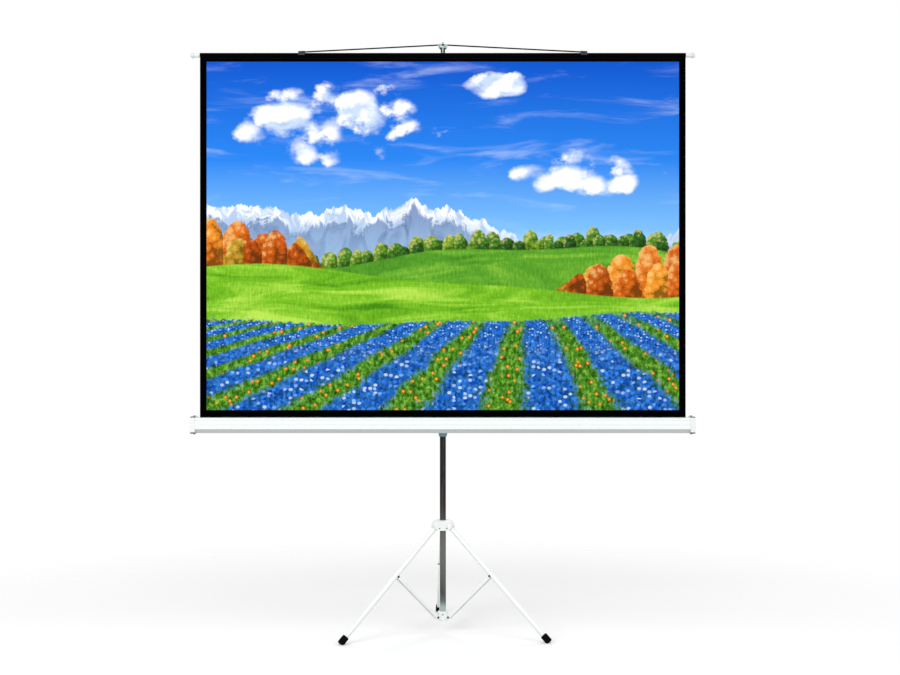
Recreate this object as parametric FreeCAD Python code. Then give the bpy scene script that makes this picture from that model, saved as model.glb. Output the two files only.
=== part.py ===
import FreeCAD, Part
import math
import os

# Portable tripod projection screen: a spring roller case on a telescoping mast with folding legs.
# Millimetres, +Z up, the viewer stands on the -Y side. The mast axis is x = 0, y = 0 while the
# pieces are drawn, and every piece is moved along Y by SHIFT_Y when it is written.

V = FreeCAD.Vector
X_AXIS = V(1, 0, 0)
Y_AXIS = V(0, 1, 0)
Z_AXIS = V(0, 0, 1)
ORIGIN = V(0, 0, 0)

# Screen fabric
PICTURE_W = 1710.0
PICTURE_H = 1261.0
PICTURE_BOTTOM_Z = 814.0
BORDER_SIDE = 24.0
BORDER_TOP = 14.0
FABRIC_T = 0.5
FABRIC_GAP = 0.3
WRAP_T = 1.0

# Top bar
BAR_OD = 16.0
BAR_WALL = 1.0
HEM_T = 0.6
BAR_CAP_NECK = 21.0
BAR_CAP_NECK_R = 8.2
BAR_CAP_FLANGE_R = 11.5
BAR_CAP_FLANGE_T = 6.0
BAR_CAP_NOSE = 6.0
BAR_CAP_NOSE_R = 8.0
BAR_CAP_SPIGOT = 40.0

# Hanger cord and its two eyes
CORD_D = 5.0
EYE_SPACING = 1022.0
EYE_WIDTH = 24.0
EYE_RING_T = 2.0
EYE_BOSS_R = 4.4
CORD_ABOVE_HEM = 3.1

# Roller case
CASE_CENTRE_Z = 760.0
CASE_BOTTOM_Z = 733.0
CASE_TOP_Z = 788.0
CASE_FRONT_Y = -105.0
CASE_BACK_Y = -40.0
CASE_WALL = 1.2
CASE_OVERHANG = 19.0
CASE_BEVEL_RUN = 12.0
CASE_BEVEL_RISE = 15.0
CASE_TOP_BEVEL = 6.0
CASE_GROOVE_H = 7.0
CASE_GROOVE_DEPTH = 1.6
CASE_GROOVE_HEIGHTS = (28.0, 44.0)
SLOT_W = 11.0
SLOT_LIP = 6.0
CAP_T = 17.0
CAP_SOCKET = 9.0
CAP_RIM_ABOVE = 5.0
CAP_RIM_BELOW = 2.0
CAP_RIM_Y = 2.4
CAP_CORNER_R = 9.0
CAP_EDGE_R = 2.5
CAP_SCREW_HEAD_R = 4.8
CAP_SCREW_HEAD_T = 2.6
CAP_SCREW_R = 2.0
CAP_SCREW_INSET = 12.0

# Roller and its spring
ROLLER_AXIS_Y = -70.0
ROLLER_OD = 38.0
ROLLER_WALL = 1.0
ROLLER_END_GAP = 10.0
SHAFT_R = 5.0
SHAFT_LENGTH = 600.0
SPRING_OD = 21.0
SPRING_WIRE = 2.5
PLUG_LENGTH = 22.0
IDLER_PIN_R = 4.0
BEARING_DEPTH = 5.0

# Case slider, pivot and knobs
SLIDER_W = 33.5
SLIDER_FOOT_W = 27.8
SLIDER_BOTTOM_Z = 716.0
SLIDER_TOP_Z = 774.0
SLIDER_TAPER_H = 16.0
SLIDER_DEPTH = 38.0
PIVOT_BOSS_R = 13.0
PIVOT_BOLT_R = 4.0
PIVOT_HEAD_R = 8.0
PIVOT_HEAD_T = 4.0
WASHER_R = 12.0
WASHER_T = 1.0
BACK_PLATE_W = 120.0
BACK_PLATE_H = 44.0
BACK_PLATE_T = 2.5
PLATE_RIVET_R = 2.4
PLATE_RIVET_HEAD_R = 4.2
PLATE_RIVET_HEAD_T = 1.2
PLATE_RIVET_INSET = 9.0
SLIDER_KNOB_R = 14.0
SLIDER_KNOB_T = 15.0
SLIDER_KNOB_Z = 735.0
MAST_KNOB_R = 11.0
MAST_KNOB_T = 13.0
KNOB_STEM_R = 3.0
KNOB_STANDOFF = 2.0
KNOB_LOBES = 6
KNOB_SCALLOP_R = 4.0

# Mast and extension
MAST_W = 22.0
MAST_WALL = 1.2
MAST_TOP_Z = 1210.0
MAST_CORNER_R = 2.0
EXTENSION_W = 16.0
EXTENSION_WALL = 1.2
EXTENSION_TOP_Z = 2120.0
EXTENSION_OVERLAP = 130.0
EXTENSION_CORNER_R = 1.6
GLIDE_LENGTH = 30.0
GLIDE_CLEARANCE = 0.15
BUSH_W = 27.0
BUSH_BELOW = 18.0
BUSH_ABOVE = 8.0
BUSH_CLEARANCE = 0.2

# Hanger hook
HOOK_PLATE_T = 2.0
HOOK_GROOVE_W = 7.8
HOOK_BASE_DROP = 12.0
HOOK_TANG_W = 9.0
HOOK_EAR_W = 32.0
HOOK_FAN_RISE = 13.0
HOOK_EAR_RISE = 26.0
HOOK_LID_T = 6.0
HOOK_EAR_TIP_W = 6.0
HOOK_PRONG_W = 8.0
HOOK_PRONG_RISE = 34.0
HOOK_VALLEY_DROP = 9.0
HOOK_SADDLE_R = 24.0
HOOK_CROWN_RISE = 19.5
HOOK_RIVET_R = 2.0
HOOK_RIVET_SPACING = 8.0
HOOK_PLUG_LENGTH = 40.0
CORD_GAP = 0.3

# Tripod linkage: hub pivot, brace rivet and collar pivot form an equal-sided triangle
PIVOT_R = 27.0
COLLAR_PIVOT_Z = 58.0
LINK = 233.0
OPEN_ANGLE = 45.8
LEG_TURN = 2.4
LEG_AZIMUTHS = (90.0, 210.0, 330.0)

# Legs and feet
LEG_OD = 18.0
LEG_WALL = 1.0
LEG_OFFSET = 5.0
LEG_TUBE_START = 14.0
LEG_TUBE_END = 535.0
LEG_EYE_R = 8.0
LEG_SPIGOT = 26.0
FOOT_R = 12.5
FOOT_END = 549.4
FOOT_LENGTH = 31.0
FOOT_EDGE_R = 4.0
PIN_R = 2.5
RUNNING_GAP = 0.05
RIVET_HEAD_R = 4.0
RIVET_HEAD_T = 1.4
SIDE_GAP = 0.2

# Braces
BRACE_WALL = 1.2
BRACE_DEPTH = 12.0
BRACE_SIDE_GAP = 0.4
BRACE_WEB_SETBACK_LEG = 10.0
BRACE_WEB_SETBACK_COLLAR = 12.0

# Base collar
COLLAR_BOTTOM_Z = 45.0
COLLAR_TOP_Z = 78.0
COLLAR_FLOOR = 5.0
COLLAR_R = 19.0
COLLAR_LUG_R = 8.0
COLLAR_EDGE_R = 2.5
COLLAR_SCREW_Z = 68.0
COLLAR_SCREW_R = 2.2
COLLAR_SCREW_HEAD_R = 3.6
COLLAR_SCREW_HEAD_T = 1.6

# Leg hub
HUB_CLEARANCE = 0.3
HUB_NECK_R = 17.5
HUB_TOP_ABOVE = 28.0
HUB_RIM_ABOVE = 7.0
HUB_BOTTOM_BELOW = 8.0
HUB_ARM_R = 43.0
HUB_ARM_W = 34.0
HUB_ARM_CORNER_R = 9.0
HUB_BODY_R = 35.5
HUB_SLOT_GAP = 0.3
HUB_EYE_GAP = 1.0
HUB_LEG_GAP = 0.8
HUB_DOME_BULGE = 5.0
GRIP_T = 0.8
GRIP_W = 9.0
GRIP_H = 26.0
STOP_RIVET_R = 2.0
STOP_HEAD_R = 4.0
STOP_HEAD_T = 2.6
STOP_GAP = 0.2

# Sizes worked out from the driving dimensions
FABRIC_W = PICTURE_W + 2 * BORDER_SIDE
PICTURE_TOP_Z = PICTURE_BOTTOM_Z + PICTURE_H
HEM_R = BAR_OD / 2 + HEM_T
BAR_Z = PICTURE_TOP_Z + BORDER_TOP + FABRIC_GAP + HEM_R
FABRIC_TOP_Z = BAR_Z - HEM_R - FABRIC_GAP
ROLLER_R = ROLLER_OD / 2
WRAP_R = ROLLER_R + WRAP_T
FABRIC_FRONT_Y = ROLLER_AXIS_Y + WRAP_R + FABRIC_GAP
FABRIC_Y = FABRIC_FRONT_Y + FABRIC_T / 2
CASE_HALF = FABRIC_W / 2 + CASE_OVERHANG
CAP_INNER_X = CASE_HALF - CAP_SOCKET
CAP_OUTER_X = CAP_INNER_X + CAP_T
CAP_TOP_Z = CASE_TOP_Z + CAP_RIM_ABOVE
CAP_BOTTOM_Z = CASE_BOTTOM_Z - CAP_RIM_BELOW
ROLLER_HALF = CASE_HALF - ROLLER_END_GAP
BAR_HALF = FABRIC_W / 2 + 1.0
MAST_HALF = MAST_W / 2
MAST_BORE = MAST_W - 2 * MAST_WALL
EXTENSION_HALF = EXTENSION_W / 2
EXTENSION_BOTTOM_Z = MAST_TOP_Z - EXTENSION_OVERLAP
SLIDER_FRONT_Y = -SLIDER_DEPTH / 2
SLIDER_BACK_Y = SLIDER_DEPTH / 2
BACK_PLATE_Y = CASE_BACK_Y + BACK_PLATE_T
PIVOT_Z = CASE_CENTRE_Z
HOOK_BASE_Z = EXTENSION_TOP_Z - HOOK_BASE_DROP
HOOK_BACK_Y = -EXTENSION_HALF - HOOK_PLATE_T
HOOK_FRONT_Y = HOOK_BACK_Y - HOOK_GROOVE_W
HOOK_CROWN_Z = EXTENSION_TOP_Z + HOOK_CROWN_RISE
CORD_R = CORD_D / 2
CORD_TOP = V(0, (HOOK_BACK_Y + HOOK_FRONT_Y) / 2, HOOK_CROWN_Z + CORD_GAP + CORD_R)
CORD_EYE_Z = BAR_Z + HEM_R + CORD_ABOVE_HEM
OPEN = math.radians(OPEN_ANGLE)
HUB_PIVOT_Z = COLLAR_PIVOT_Z + 2 * LINK * math.cos(OPEN)
LEG_R = LEG_OD / 2
BRACE_INNER = LEG_R + BRACE_SIDE_GAP
BRACE_OUTER = BRACE_INNER + BRACE_WALL
LEG_DIRECTION = V(math.sin(OPEN), 0, -math.cos(OPEN))
LEG_NORMAL = V(math.cos(OPEN), 0, math.sin(OPEN))
HUB_PIVOT = V(PIVOT_R, 0, HUB_PIVOT_Z)
COLLAR_PIVOT = V(PIVOT_R, 0, COLLAR_PIVOT_Z)
BRACE_RIVET = HUB_PIVOT + LEG_DIRECTION * LINK
LEG_AXIS_START = HUB_PIVOT + LEG_NORMAL * LEG_OFFSET


# Shape helpers

def box(x0, x1, y0, y1, z0, z1):
    return Part.makeBox(x1 - x0, y1 - y0, z1 - z0, V(x0, y0, z0))


def rod(start, end, radius):
    axis = end - start
    return Part.makeCylinder(radius, axis.Length, start, axis)


def prism(points, thickness_vector):
    face = Part.Face(Part.makePolygon(points + [points[0]]))
    return face.extrude(thickness_vector)


def square_bar(side, corner_r, z0, z1):
    half = side / 2
    solid = box(-half, half, -half, half, z0, z1)
    upright = [e for e in solid.Edges if abs(e.BoundBox.ZLength - (z1 - z0)) < 1e-6]
    return solid.makeFillet(corner_r, upright)


def square_tube(side, wall, corner_r, z0, z1):
    outer = square_bar(side, corner_r, z0, z1)
    bore = side - 2 * wall
    return outer.cut(box(-bore / 2, bore / 2, -bore / 2, bore / 2, z0, z1))


def fillet_where(solid, radius, test):
    edges = [e for e in solid.Edges if test(e)]
    return solid.makeFillet(radius, edges)


def fused(shapes):
    whole = shapes[0]
    for shape in shapes[1:]:
        whole = whole.fuse(shape)
    return whole.removeSplitter()


def turned(shape, azimuth):
    copy = shape.copy()
    copy.rotate(ORIGIN, Z_AXIS, azimuth)
    return copy


def mirrored(shape):
    return shape.mirror(ORIGIN, X_AXIS)


def headed_pin(centre, axis, half_length, radius, head_r, head_t):
    body = rod(centre - axis * half_length, centre + axis * half_length, radius)
    front = rod(centre + axis * half_length, centre + axis * (half_length + head_t), head_r)
    back = rod(centre - axis * (half_length + head_t), centre - axis * half_length, head_r)
    return fused([body, front, back])


def knob(centre_y, centre_z, tip_y, radius, thickness):
    disc = rod(V(0, centre_y, centre_z), V(0, centre_y + thickness, centre_z), radius)
    for lobe in range(KNOB_LOBES):
        angle = 2 * math.pi * lobe / KNOB_LOBES
        reach = radius + KNOB_SCALLOP_R * 0.5
        x = reach * math.cos(angle)
        z = centre_z + reach * math.sin(angle)
        disc = disc.cut(rod(V(x, centre_y, z), V(x, centre_y + thickness, z), KNOB_SCALLOP_R))
    stem = rod(V(0, tip_y, centre_z), V(0, centre_y, centre_z), KNOB_STEM_R)
    return fused([disc, stem])


# Mast, bush and extension

def mast_tube():
    tube = square_tube(MAST_W, MAST_WALL, MAST_CORNER_R, COLLAR_BOTTOM_Z + COLLAR_FLOOR, MAST_TOP_Z)
    tube = tube.cut(rod(V(0, -MAST_W, COLLAR_SCREW_Z), V(0, 0, COLLAR_SCREW_Z), COLLAR_SCREW_R))
    tube = tube.cut(rod(V(0, 0, STOP_Z), V(0, MAST_W, STOP_Z), STOP_RIVET_R))
    knob_z = mast_knob_z()
    return tube.cut(rod(V(0, 0, knob_z), V(0, MAST_W, knob_z), KNOB_STEM_R + RUNNING_GAP))


def mast_knob_z():
    return MAST_TOP_Z - BUSH_BELOW / 2


def mast_top_bush():
    outer = square_bar(BUSH_W, MAST_CORNER_R * 2, MAST_TOP_Z - BUSH_BELOW, MAST_TOP_Z + BUSH_ABOVE)
    socket = square_bar(MAST_W, MAST_CORNER_R, MAST_TOP_Z - BUSH_BELOW, MAST_TOP_Z)
    side = EXTENSION_W + 2 * BUSH_CLEARANCE
    guide = square_bar(side, EXTENSION_CORNER_R, MAST_TOP_Z, MAST_TOP_Z + BUSH_ABOVE)
    knob_z = mast_knob_z()
    hole = rod(V(0, 0, knob_z), V(0, BUSH_W, knob_z), KNOB_STEM_R + RUNNING_GAP)
    return outer.cut(socket).cut(guide).cut(hole)


def mast_knob():
    tip = EXTENSION_HALF + FABRIC_GAP
    return knob(BUSH_W / 2 + KNOB_STANDOFF, mast_knob_z(), tip, MAST_KNOB_R, MAST_KNOB_T)


def extension_tube():
    tube = square_tube(EXTENSION_W, EXTENSION_WALL, EXTENSION_CORNER_R, EXTENSION_BOTTOM_Z, EXTENSION_TOP_Z)
    for rivet in hook_rivet_rods():
        tube = tube.cut(rivet)
    return tube


def extension_glide():
    side = MAST_BORE - 2 * GLIDE_CLEARANCE
    foot = square_bar(side, EXTENSION_CORNER_R, EXTENSION_BOTTOM_Z - GLIDE_LENGTH, EXTENSION_BOTTOM_Z)
    bore = EXTENSION_W - 2 * EXTENSION_WALL
    spigot_top = EXTENSION_BOTTOM_Z + GLIDE_LENGTH
    spigot = box(-bore / 2, bore / 2, -bore / 2, bore / 2, EXTENSION_BOTTOM_Z, spigot_top)
    return fused([foot, spigot])


# Hanger hook

def hook_rivet_rods():
    z = EXTENSION_TOP_Z - HOOK_BASE_DROP / 2
    rods = []
    for side in (-1, 1):
        x = side * HOOK_RIVET_SPACING / 2
        rods.append(rod(V(x, -EXTENSION_HALF - HOOK_PLATE_T, z), V(x, -EXTENSION_HALF / 2, z), HOOK_RIVET_R))
    return rods


def hook_plug():
    bore = EXTENSION_W - 2 * EXTENSION_WALL
    plug = box(-bore / 2, bore / 2, -bore / 2, bore / 2, EXTENSION_TOP_Z - HOOK_PLUG_LENGTH, EXTENSION_TOP_Z)
    lid = square_bar(EXTENSION_W, EXTENSION_CORNER_R, EXTENSION_TOP_Z, EXTENSION_TOP_Z + HOOK_LID_T)
    plug = fused([plug, lid])
    for rivet in hook_rivet_rods():
        plug = plug.cut(rivet)
    return plug


def hook_back_plate():
    half = EXTENSION_HALF
    prong = HOOK_PRONG_W / 2
    ear_z = EXTENSION_TOP_Z + HOOK_EAR_RISE
    outline = [
        V(-half, -half, HOOK_BASE_Z),
        V(half, -half, HOOK_BASE_Z),
        V(half, -half, HOOK_CROWN_Z),
        V(prong, -half, ear_z),
        V(prong / 2, -half, EXTENSION_TOP_Z + HOOK_PRONG_RISE),
        V(-prong / 2, -half, EXTENSION_TOP_Z + HOOK_PRONG_RISE),
        V(-prong, -half, ear_z),
        V(-half, -half, HOOK_CROWN_Z),
    ]
    plate = prism(outline, V(0, -HOOK_PLATE_T, 0))
    for rivet in hook_rivet_rods():
        plate = plate.cut(rivet)
    return plate


def hook_saddle():
    centre_z = HOOK_CROWN_Z - HOOK_SADDLE_R
    disc = rod(V(0, HOOK_FRONT_Y, centre_z), V(0, HOOK_BACK_Y, centre_z), HOOK_SADDLE_R)
    half = HOOK_TANG_W / 2
    ear = HOOK_EAR_W / 2
    y = HOOK_FRONT_Y
    fan = [
        V(-half, y, EXTENSION_TOP_Z),
        V(half, y, EXTENSION_TOP_Z),
        V(ear, y, EXTENSION_TOP_Z + HOOK_FAN_RISE),
        V(ear, y, HOOK_CROWN_Z),
        V(-ear, y, HOOK_CROWN_Z),
        V(-ear, y, EXTENSION_TOP_Z + HOOK_FAN_RISE),
    ]
    head = disc.common(prism(fan, V(0, HOOK_GROOVE_W, 0)))
    tang = box(-half, half, HOOK_FRONT_Y, HOOK_BACK_Y, HOOK_BASE_Z, EXTENSION_TOP_Z)
    return fused([head, tang])


def hook_front_plate():
    half = HOOK_TANG_W / 2
    ear = HOOK_EAR_W / 2
    fan_z = EXTENSION_TOP_Z + HOOK_FAN_RISE
    ear_z = EXTENSION_TOP_Z + HOOK_EAR_RISE
    valley_z = ear_z - HOOK_VALLEY_DROP
    y = HOOK_FRONT_Y
    outline = [
        V(-half, y, HOOK_BASE_Z),
        V(half, y, HOOK_BASE_Z),
        V(half, y, EXTENSION_TOP_Z),
        V(ear, y, fan_z),
        V(ear + HOOK_PLATE_T, y, ear_z),
        V(ear - HOOK_EAR_TIP_W, y, ear_z - HOOK_PLATE_T),
        V(0, y, valley_z),
        V(HOOK_EAR_TIP_W - ear, y, ear_z - HOOK_PLATE_T),
        V(-ear - HOOK_PLATE_T, y, ear_z),
        V(-ear, y, fan_z),
        V(-half, y, EXTENSION_TOP_Z),
    ]
    return prism(outline, V(0, -HOOK_PLATE_T, 0))


# Tripod pieces, drawn at azimuth 0 with the radius along X

def leg_point(distance):
    return LEG_AXIS_START + LEG_DIRECTION * distance


def cross_rod(centre, half_length, radius):
    return rod(centre - Y_AXIS * half_length, centre + Y_AXIS * half_length, radius)


def leg_tube():
    start = leg_point(LEG_TUBE_START)
    end = leg_point(LEG_TUBE_END)
    tube = rod(start, end, LEG_R).cut(rod(start, end, LEG_R - LEG_WALL))
    return tube.cut(cross_rod(BRACE_RIVET, LEG_OD, PIN_R))


def leg_top():
    eye = cross_rod(HUB_PIVOT, LEG_R, LEG_EYE_R)
    shoulder = rod(leg_point(LEG_OFFSET), leg_point(LEG_TUBE_START), LEG_R)
    spigot = rod(leg_point(LEG_TUBE_START), leg_point(LEG_TUBE_START + LEG_SPIGOT), LEG_R - LEG_WALL)
    fitting = fused([eye, shoulder, spigot])
    return fitting.cut(cross_rod(HUB_PIVOT, LEG_OD, PIN_R + RUNNING_GAP))


def leg_foot():
    body = rod(leg_point(FOOT_END - FOOT_LENGTH), leg_point(FOOT_END), FOOT_R)
    end = leg_point(FOOT_END)
    body = fillet_where(body, FOOT_EDGE_R, lambda e: e.CenterOfMass.distanceToPoint(end) < 1e-3)
    socket = rod(leg_point(FOOT_END - FOOT_LENGTH), leg_point(LEG_TUBE_END), LEG_R)
    reach = FOOT_END * 2
    below_floor = box(-reach, reach, -reach, reach, -reach, 0)
    return body.cut(socket).cut(below_floor)


def brace_rivet():
    return headed_pin(BRACE_RIVET, Y_AXIS, BRACE_OUTER + SIDE_GAP, PIN_R, RIVET_HEAD_R, RIVET_HEAD_T)


def brace():
    half = BRACE_DEPTH / 2
    side = box(0, LINK, BRACE_INNER, BRACE_OUTER, -half, half)
    ends = [rod(V(x, BRACE_INNER, 0), V(x, BRACE_OUTER, 0), half) for x in (0, LINK)]
    flange = fused([side] + ends)
    web = box(BRACE_WEB_SETBACK_COLLAR, LINK - BRACE_WEB_SETBACK_LEG, -BRACE_OUTER, BRACE_OUTER,
              half - BRACE_WALL, half)
    channel = fused([flange, flange.mirror(ORIGIN, Y_AXIS), web])
    for x in (0, LINK):
        channel = channel.cut(cross_rod(V(x, 0, 0), LEG_OD, PIN_R + RUNNING_GAP))
    channel.rotate(ORIGIN, Y_AXIS, OPEN_ANGLE - 90)
    channel.translate(COLLAR_PIVOT)
    return channel


def collar_pin():
    return headed_pin(COLLAR_PIVOT, Y_AXIS, BRACE_OUTER + SIDE_GAP, PIN_R, RIVET_HEAD_R, RIVET_HEAD_T)


def base_collar():
    body = rod(V(0, 0, COLLAR_BOTTOM_Z), V(0, 0, COLLAR_TOP_Z), COLLAR_R)
    body = body.makeFillet(COLLAR_EDGE_R, [e for e in body.Edges if e.Closed])
    lug_half = BRACE_INNER - SIDE_GAP
    nose = cross_rod(COLLAR_PIVOT, lug_half, COLLAR_LUG_R)
    arm = box(0, PIVOT_R, -lug_half, lug_half, COLLAR_PIVOT_Z - COLLAR_LUG_R, COLLAR_PIVOT_Z + COLLAR_LUG_R)
    lug = fused([nose, arm]).cut(cross_rod(COLLAR_PIVOT, LEG_OD, PIN_R))
    collar = fused([body] + [turned(lug, azimuth + LEG_TURN) for azimuth in LEG_AZIMUTHS])
    socket = square_bar(MAST_W, MAST_CORNER_R, COLLAR_BOTTOM_Z + COLLAR_FLOOR, COLLAR_TOP_Z)
    hole = rod(V(0, -COLLAR_R * 2, COLLAR_SCREW_Z), V(0, 0, COLLAR_SCREW_Z), COLLAR_SCREW_R)
    return collar.cut(socket).cut(hole)


def collar_screw():
    face = V(0, -COLLAR_R, COLLAR_SCREW_Z)
    shank = rod(face, V(0, -MAST_HALF + MAST_WALL, COLLAR_SCREW_Z), COLLAR_SCREW_R)
    head = rod(face - Y_AXIS * COLLAR_SCREW_HEAD_T, face, COLLAR_SCREW_HEAD_R)
    return fused([shank, head])


# Leg hub

STOP_Z = HUB_PIVOT_Z - HUB_BOTTOM_BELOW - STOP_HEAD_R - STOP_GAP


def hub_dome_profile():
    bottom = HUB_PIVOT_Z - HUB_BOTTOM_BELOW
    rim = HUB_PIVOT_Z + HUB_RIM_ABOVE
    top = HUB_PIVOT_Z + HUB_TOP_ABOVE
    neck = V(HUB_NECK_R, 0, top)
    edge = V(HUB_ARM_R, 0, rim)
    crown = (neck + edge) * 0.5 + V(HUB_DOME_BULGE, 0, HUB_DOME_BULGE)
    lip = V(HUB_ARM_R, 0, HUB_PIVOT_Z)
    waist = V(HUB_BODY_R, 0, bottom)
    edges = [
        Part.LineSegment(V(0, 0, bottom), waist).toShape(),
        Part.LineSegment(waist, lip).toShape(),
        Part.LineSegment(lip, edge).toShape(),
        Part.Arc(edge, crown, neck).toShape(),
        Part.LineSegment(neck, V(0, 0, top)).toShape(),
        Part.LineSegment(V(0, 0, top), V(0, 0, bottom)).toShape(),
    ]
    return Part.Face(Part.Wire(edges))


def hub_arm_plan():
    half = HUB_ARM_W / 2
    z0 = HUB_PIVOT_Z - HUB_BOTTOM_BELOW
    z1 = HUB_PIVOT_Z + HUB_TOP_ABOVE
    arm = box(0, HUB_ARM_R, -half, half, z0, z1)
    return fillet_where(arm, HUB_ARM_CORNER_R, lambda e: e.BoundBox.ZLength > 1 and e.CenterOfMass.x > 1)


def hub_slot():
    half = LEG_R + HUB_SLOT_GAP
    eye = LEG_EYE_R + HUB_EYE_GAP
    roof = LEG_OFFSET + LEG_R + HUB_LEG_GAP
    below = HUB_PIVOT_Z - HUB_ARM_R
    shoulder = HUB_PIVOT + LEG_NORMAL * roof
    far = HUB_PIVOT + LEG_DIRECTION * HUB_ARM_R * 2 + LEG_NORMAL * roof
    outline = [
        V(PIVOT_R - eye, -half, below),
        V(PIVOT_R - eye, -half, HUB_PIVOT_Z),
        V(PIVOT_R, -half, HUB_PIVOT_Z),
        V(shoulder.x, -half, shoulder.z),
        V(far.x, -half, far.z),
        V(far.x, -half, below),
    ]
    wedge = prism(outline, V(0, 2 * half, 0))
    return fused([wedge, cross_rod(HUB_PIVOT, half, eye)])


def leg_hub():
    dome = hub_dome_profile().revolve(ORIGIN, Z_AXIS, 360)
    core = rod(V(0, 0, HUB_PIVOT_Z - HUB_BOTTOM_BELOW), V(0, 0, HUB_PIVOT_Z + HUB_TOP_ABOVE), HUB_BODY_R)
    plan = fused([core] + [turned(hub_arm_plan(), azimuth + LEG_TURN) for azimuth in LEG_AZIMUTHS])
    hub = dome.common(plan)
    pin_hole = cross_rod(HUB_PIVOT, HUB_ARM_W, PIN_R)
    for azimuth in LEG_AZIMUTHS:
        hub = hub.cut(turned(hub_slot(), azimuth + LEG_TURN))
        hub = hub.cut(turned(pin_hole, azimuth + LEG_TURN))
    bore = MAST_W + 2 * HUB_CLEARANCE
    hub = hub.cut(square_bar(bore, MAST_CORNER_R, 0, HUB_PIVOT_Z * 2))
    return hub.cut(grip_spring_shape(HUB_CLEARANCE))


def grip_spring_shape(extra):
    half = GRIP_W / 2
    z0 = HUB_PIVOT_Z + (HUB_TOP_ABOVE - HUB_BOTTOM_BELOW - GRIP_H) / 2
    front = -MAST_HALF - HUB_CLEARANCE
    return box(-half, half, front - GRIP_T, front + extra, z0, z0 + GRIP_H)


def hub_grip_spring():
    return grip_spring_shape(0)


def hub_pin():
    half = HUB_ARM_W / 2 - RIVET_HEAD_T
    return cross_rod(HUB_PIVOT, half + RIVET_HEAD_T + SIDE_GAP, PIN_R)


def hub_stop_rivet():
    face = V(0, MAST_HALF, STOP_Z)
    shank = rod(face - Y_AXIS * MAST_WALL, face, STOP_RIVET_R)
    head = rod(face, face + Y_AXIS * STOP_HEAD_T, STOP_HEAD_R)
    return fused([shank, head])


# Roller case

def case_outline():
    groove_points = []
    for height in CASE_GROOVE_HEIGHTS:
        z = CASE_BOTTOM_Z + height
        groove_points.append((CASE_FRONT_Y, z - CASE_GROOVE_H / 2))
        groove_points.append((CASE_FRONT_Y + CASE_GROOVE_DEPTH, z))
        groove_points.append((CASE_FRONT_Y, z + CASE_GROOVE_H / 2))
    return [
        (FABRIC_Y + SLOT_W / 2, CASE_TOP_Z),
        (CASE_BACK_Y, CASE_TOP_Z),
        (CASE_BACK_Y, CASE_BOTTOM_Z),
        (CASE_FRONT_Y + CASE_BEVEL_RUN, CASE_BOTTOM_Z),
        (CASE_FRONT_Y, CASE_BOTTOM_Z + CASE_BEVEL_RISE),
    ] + groove_points + [
        (CASE_FRONT_Y, CASE_TOP_Z - CASE_TOP_BEVEL),
        (CASE_FRONT_Y + CASE_TOP_BEVEL, CASE_TOP_Z),
        (FABRIC_Y - SLOT_W / 2, CASE_TOP_Z),
    ]


def inset_path(points, distance):
    """Points of the same path moved to its left by distance, with mitred corners."""
    normals = []
    for (ay, az), (by, bz) in zip(points, points[1:]):
        length = math.hypot(by - ay, bz - az)
        normals.append(((az - bz) / length, (by - ay) / length))
    moved = []
    for index, (y, z) in enumerate(points):
        first = normals[max(index - 1, 0)]
        second = normals[min(index, len(normals) - 1)]
        share = distance / (1 + first[0] * second[0] + first[1] * second[1])
        moved.append((y + share * (first[0] + second[0]), z + share * (first[1] + second[1])))
    return moved


def along_case(points, x0, x1):
    return prism([V(x0, y, z) for y, z in points], V(x1 - x0, 0, 0))


def case_shell():
    outer = case_outline() + [(FABRIC_Y - SLOT_W / 2, CASE_TOP_Z - SLOT_LIP)]
    inner = inset_path(outer, -CASE_WALL)
    shell = along_case(outer + inner[::-1], -CASE_HALF, CASE_HALF)
    for hole in plate_rivet_rods() + [pivot_hole()] + cap_screw_rods():
        shell = shell.cut(hole)
    return shell


def cap_screw_places():
    y = CASE_FRONT_Y + CASE_BEVEL_RUN + CAP_SCREW_INSET
    x = CASE_HALF - CAP_SOCKET / 2
    return [(side * x, y, up) for side in (-1, 1) for up in (False, True)]


def cap_screw_rods():
    rods = []
    for x, y, up in cap_screw_places():
        wall = CASE_TOP_Z - CASE_WALL if up else CASE_BOTTOM_Z + CASE_WALL
        face = CAP_TOP_Z if up else CAP_BOTTOM_Z
        rods.append(rod(V(x, y, wall), V(x, y, face), CAP_SCREW_R))
    return rods


def end_cap_screws():
    screws = []
    for (x, y, up), shank in zip(cap_screw_places(), cap_screw_rods()):
        face = CAP_TOP_Z if up else CAP_BOTTOM_Z
        tip = face + CAP_SCREW_HEAD_T if up else face - CAP_SCREW_HEAD_T
        head = rod(V(x, y, face), V(x, y, tip), CAP_SCREW_HEAD_R)
        screws.append(fused([shank, head]))
    return Part.makeCompound(screws)


def end_cap(bearing_r):
    block = box(CAP_INNER_X, CAP_OUTER_X, CASE_FRONT_Y - CAP_RIM_Y, CASE_BACK_Y + CAP_RIM_Y,
                CAP_BOTTOM_Z, CAP_TOP_Z)
    block = fillet_where(block, CAP_CORNER_R, lambda e: abs(e.BoundBox.XLength - CAP_T) < 1e-6)
    block = fillet_where(block, CAP_EDGE_R, lambda e: abs(e.CenterOfMass.x - CAP_OUTER_X) < 1e-6)
    cap = block.cut(along_case(case_outline(), CAP_INNER_X, CASE_HALF))
    axis = V(CASE_HALF, ROLLER_AXIS_Y, CASE_CENTRE_Z)
    cap = cap.cut(rod(axis, axis + X_AXIS * BEARING_DEPTH, bearing_r))
    for hole in cap_screw_rods():
        cap = cap.cut(hole)
    return cap


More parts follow.
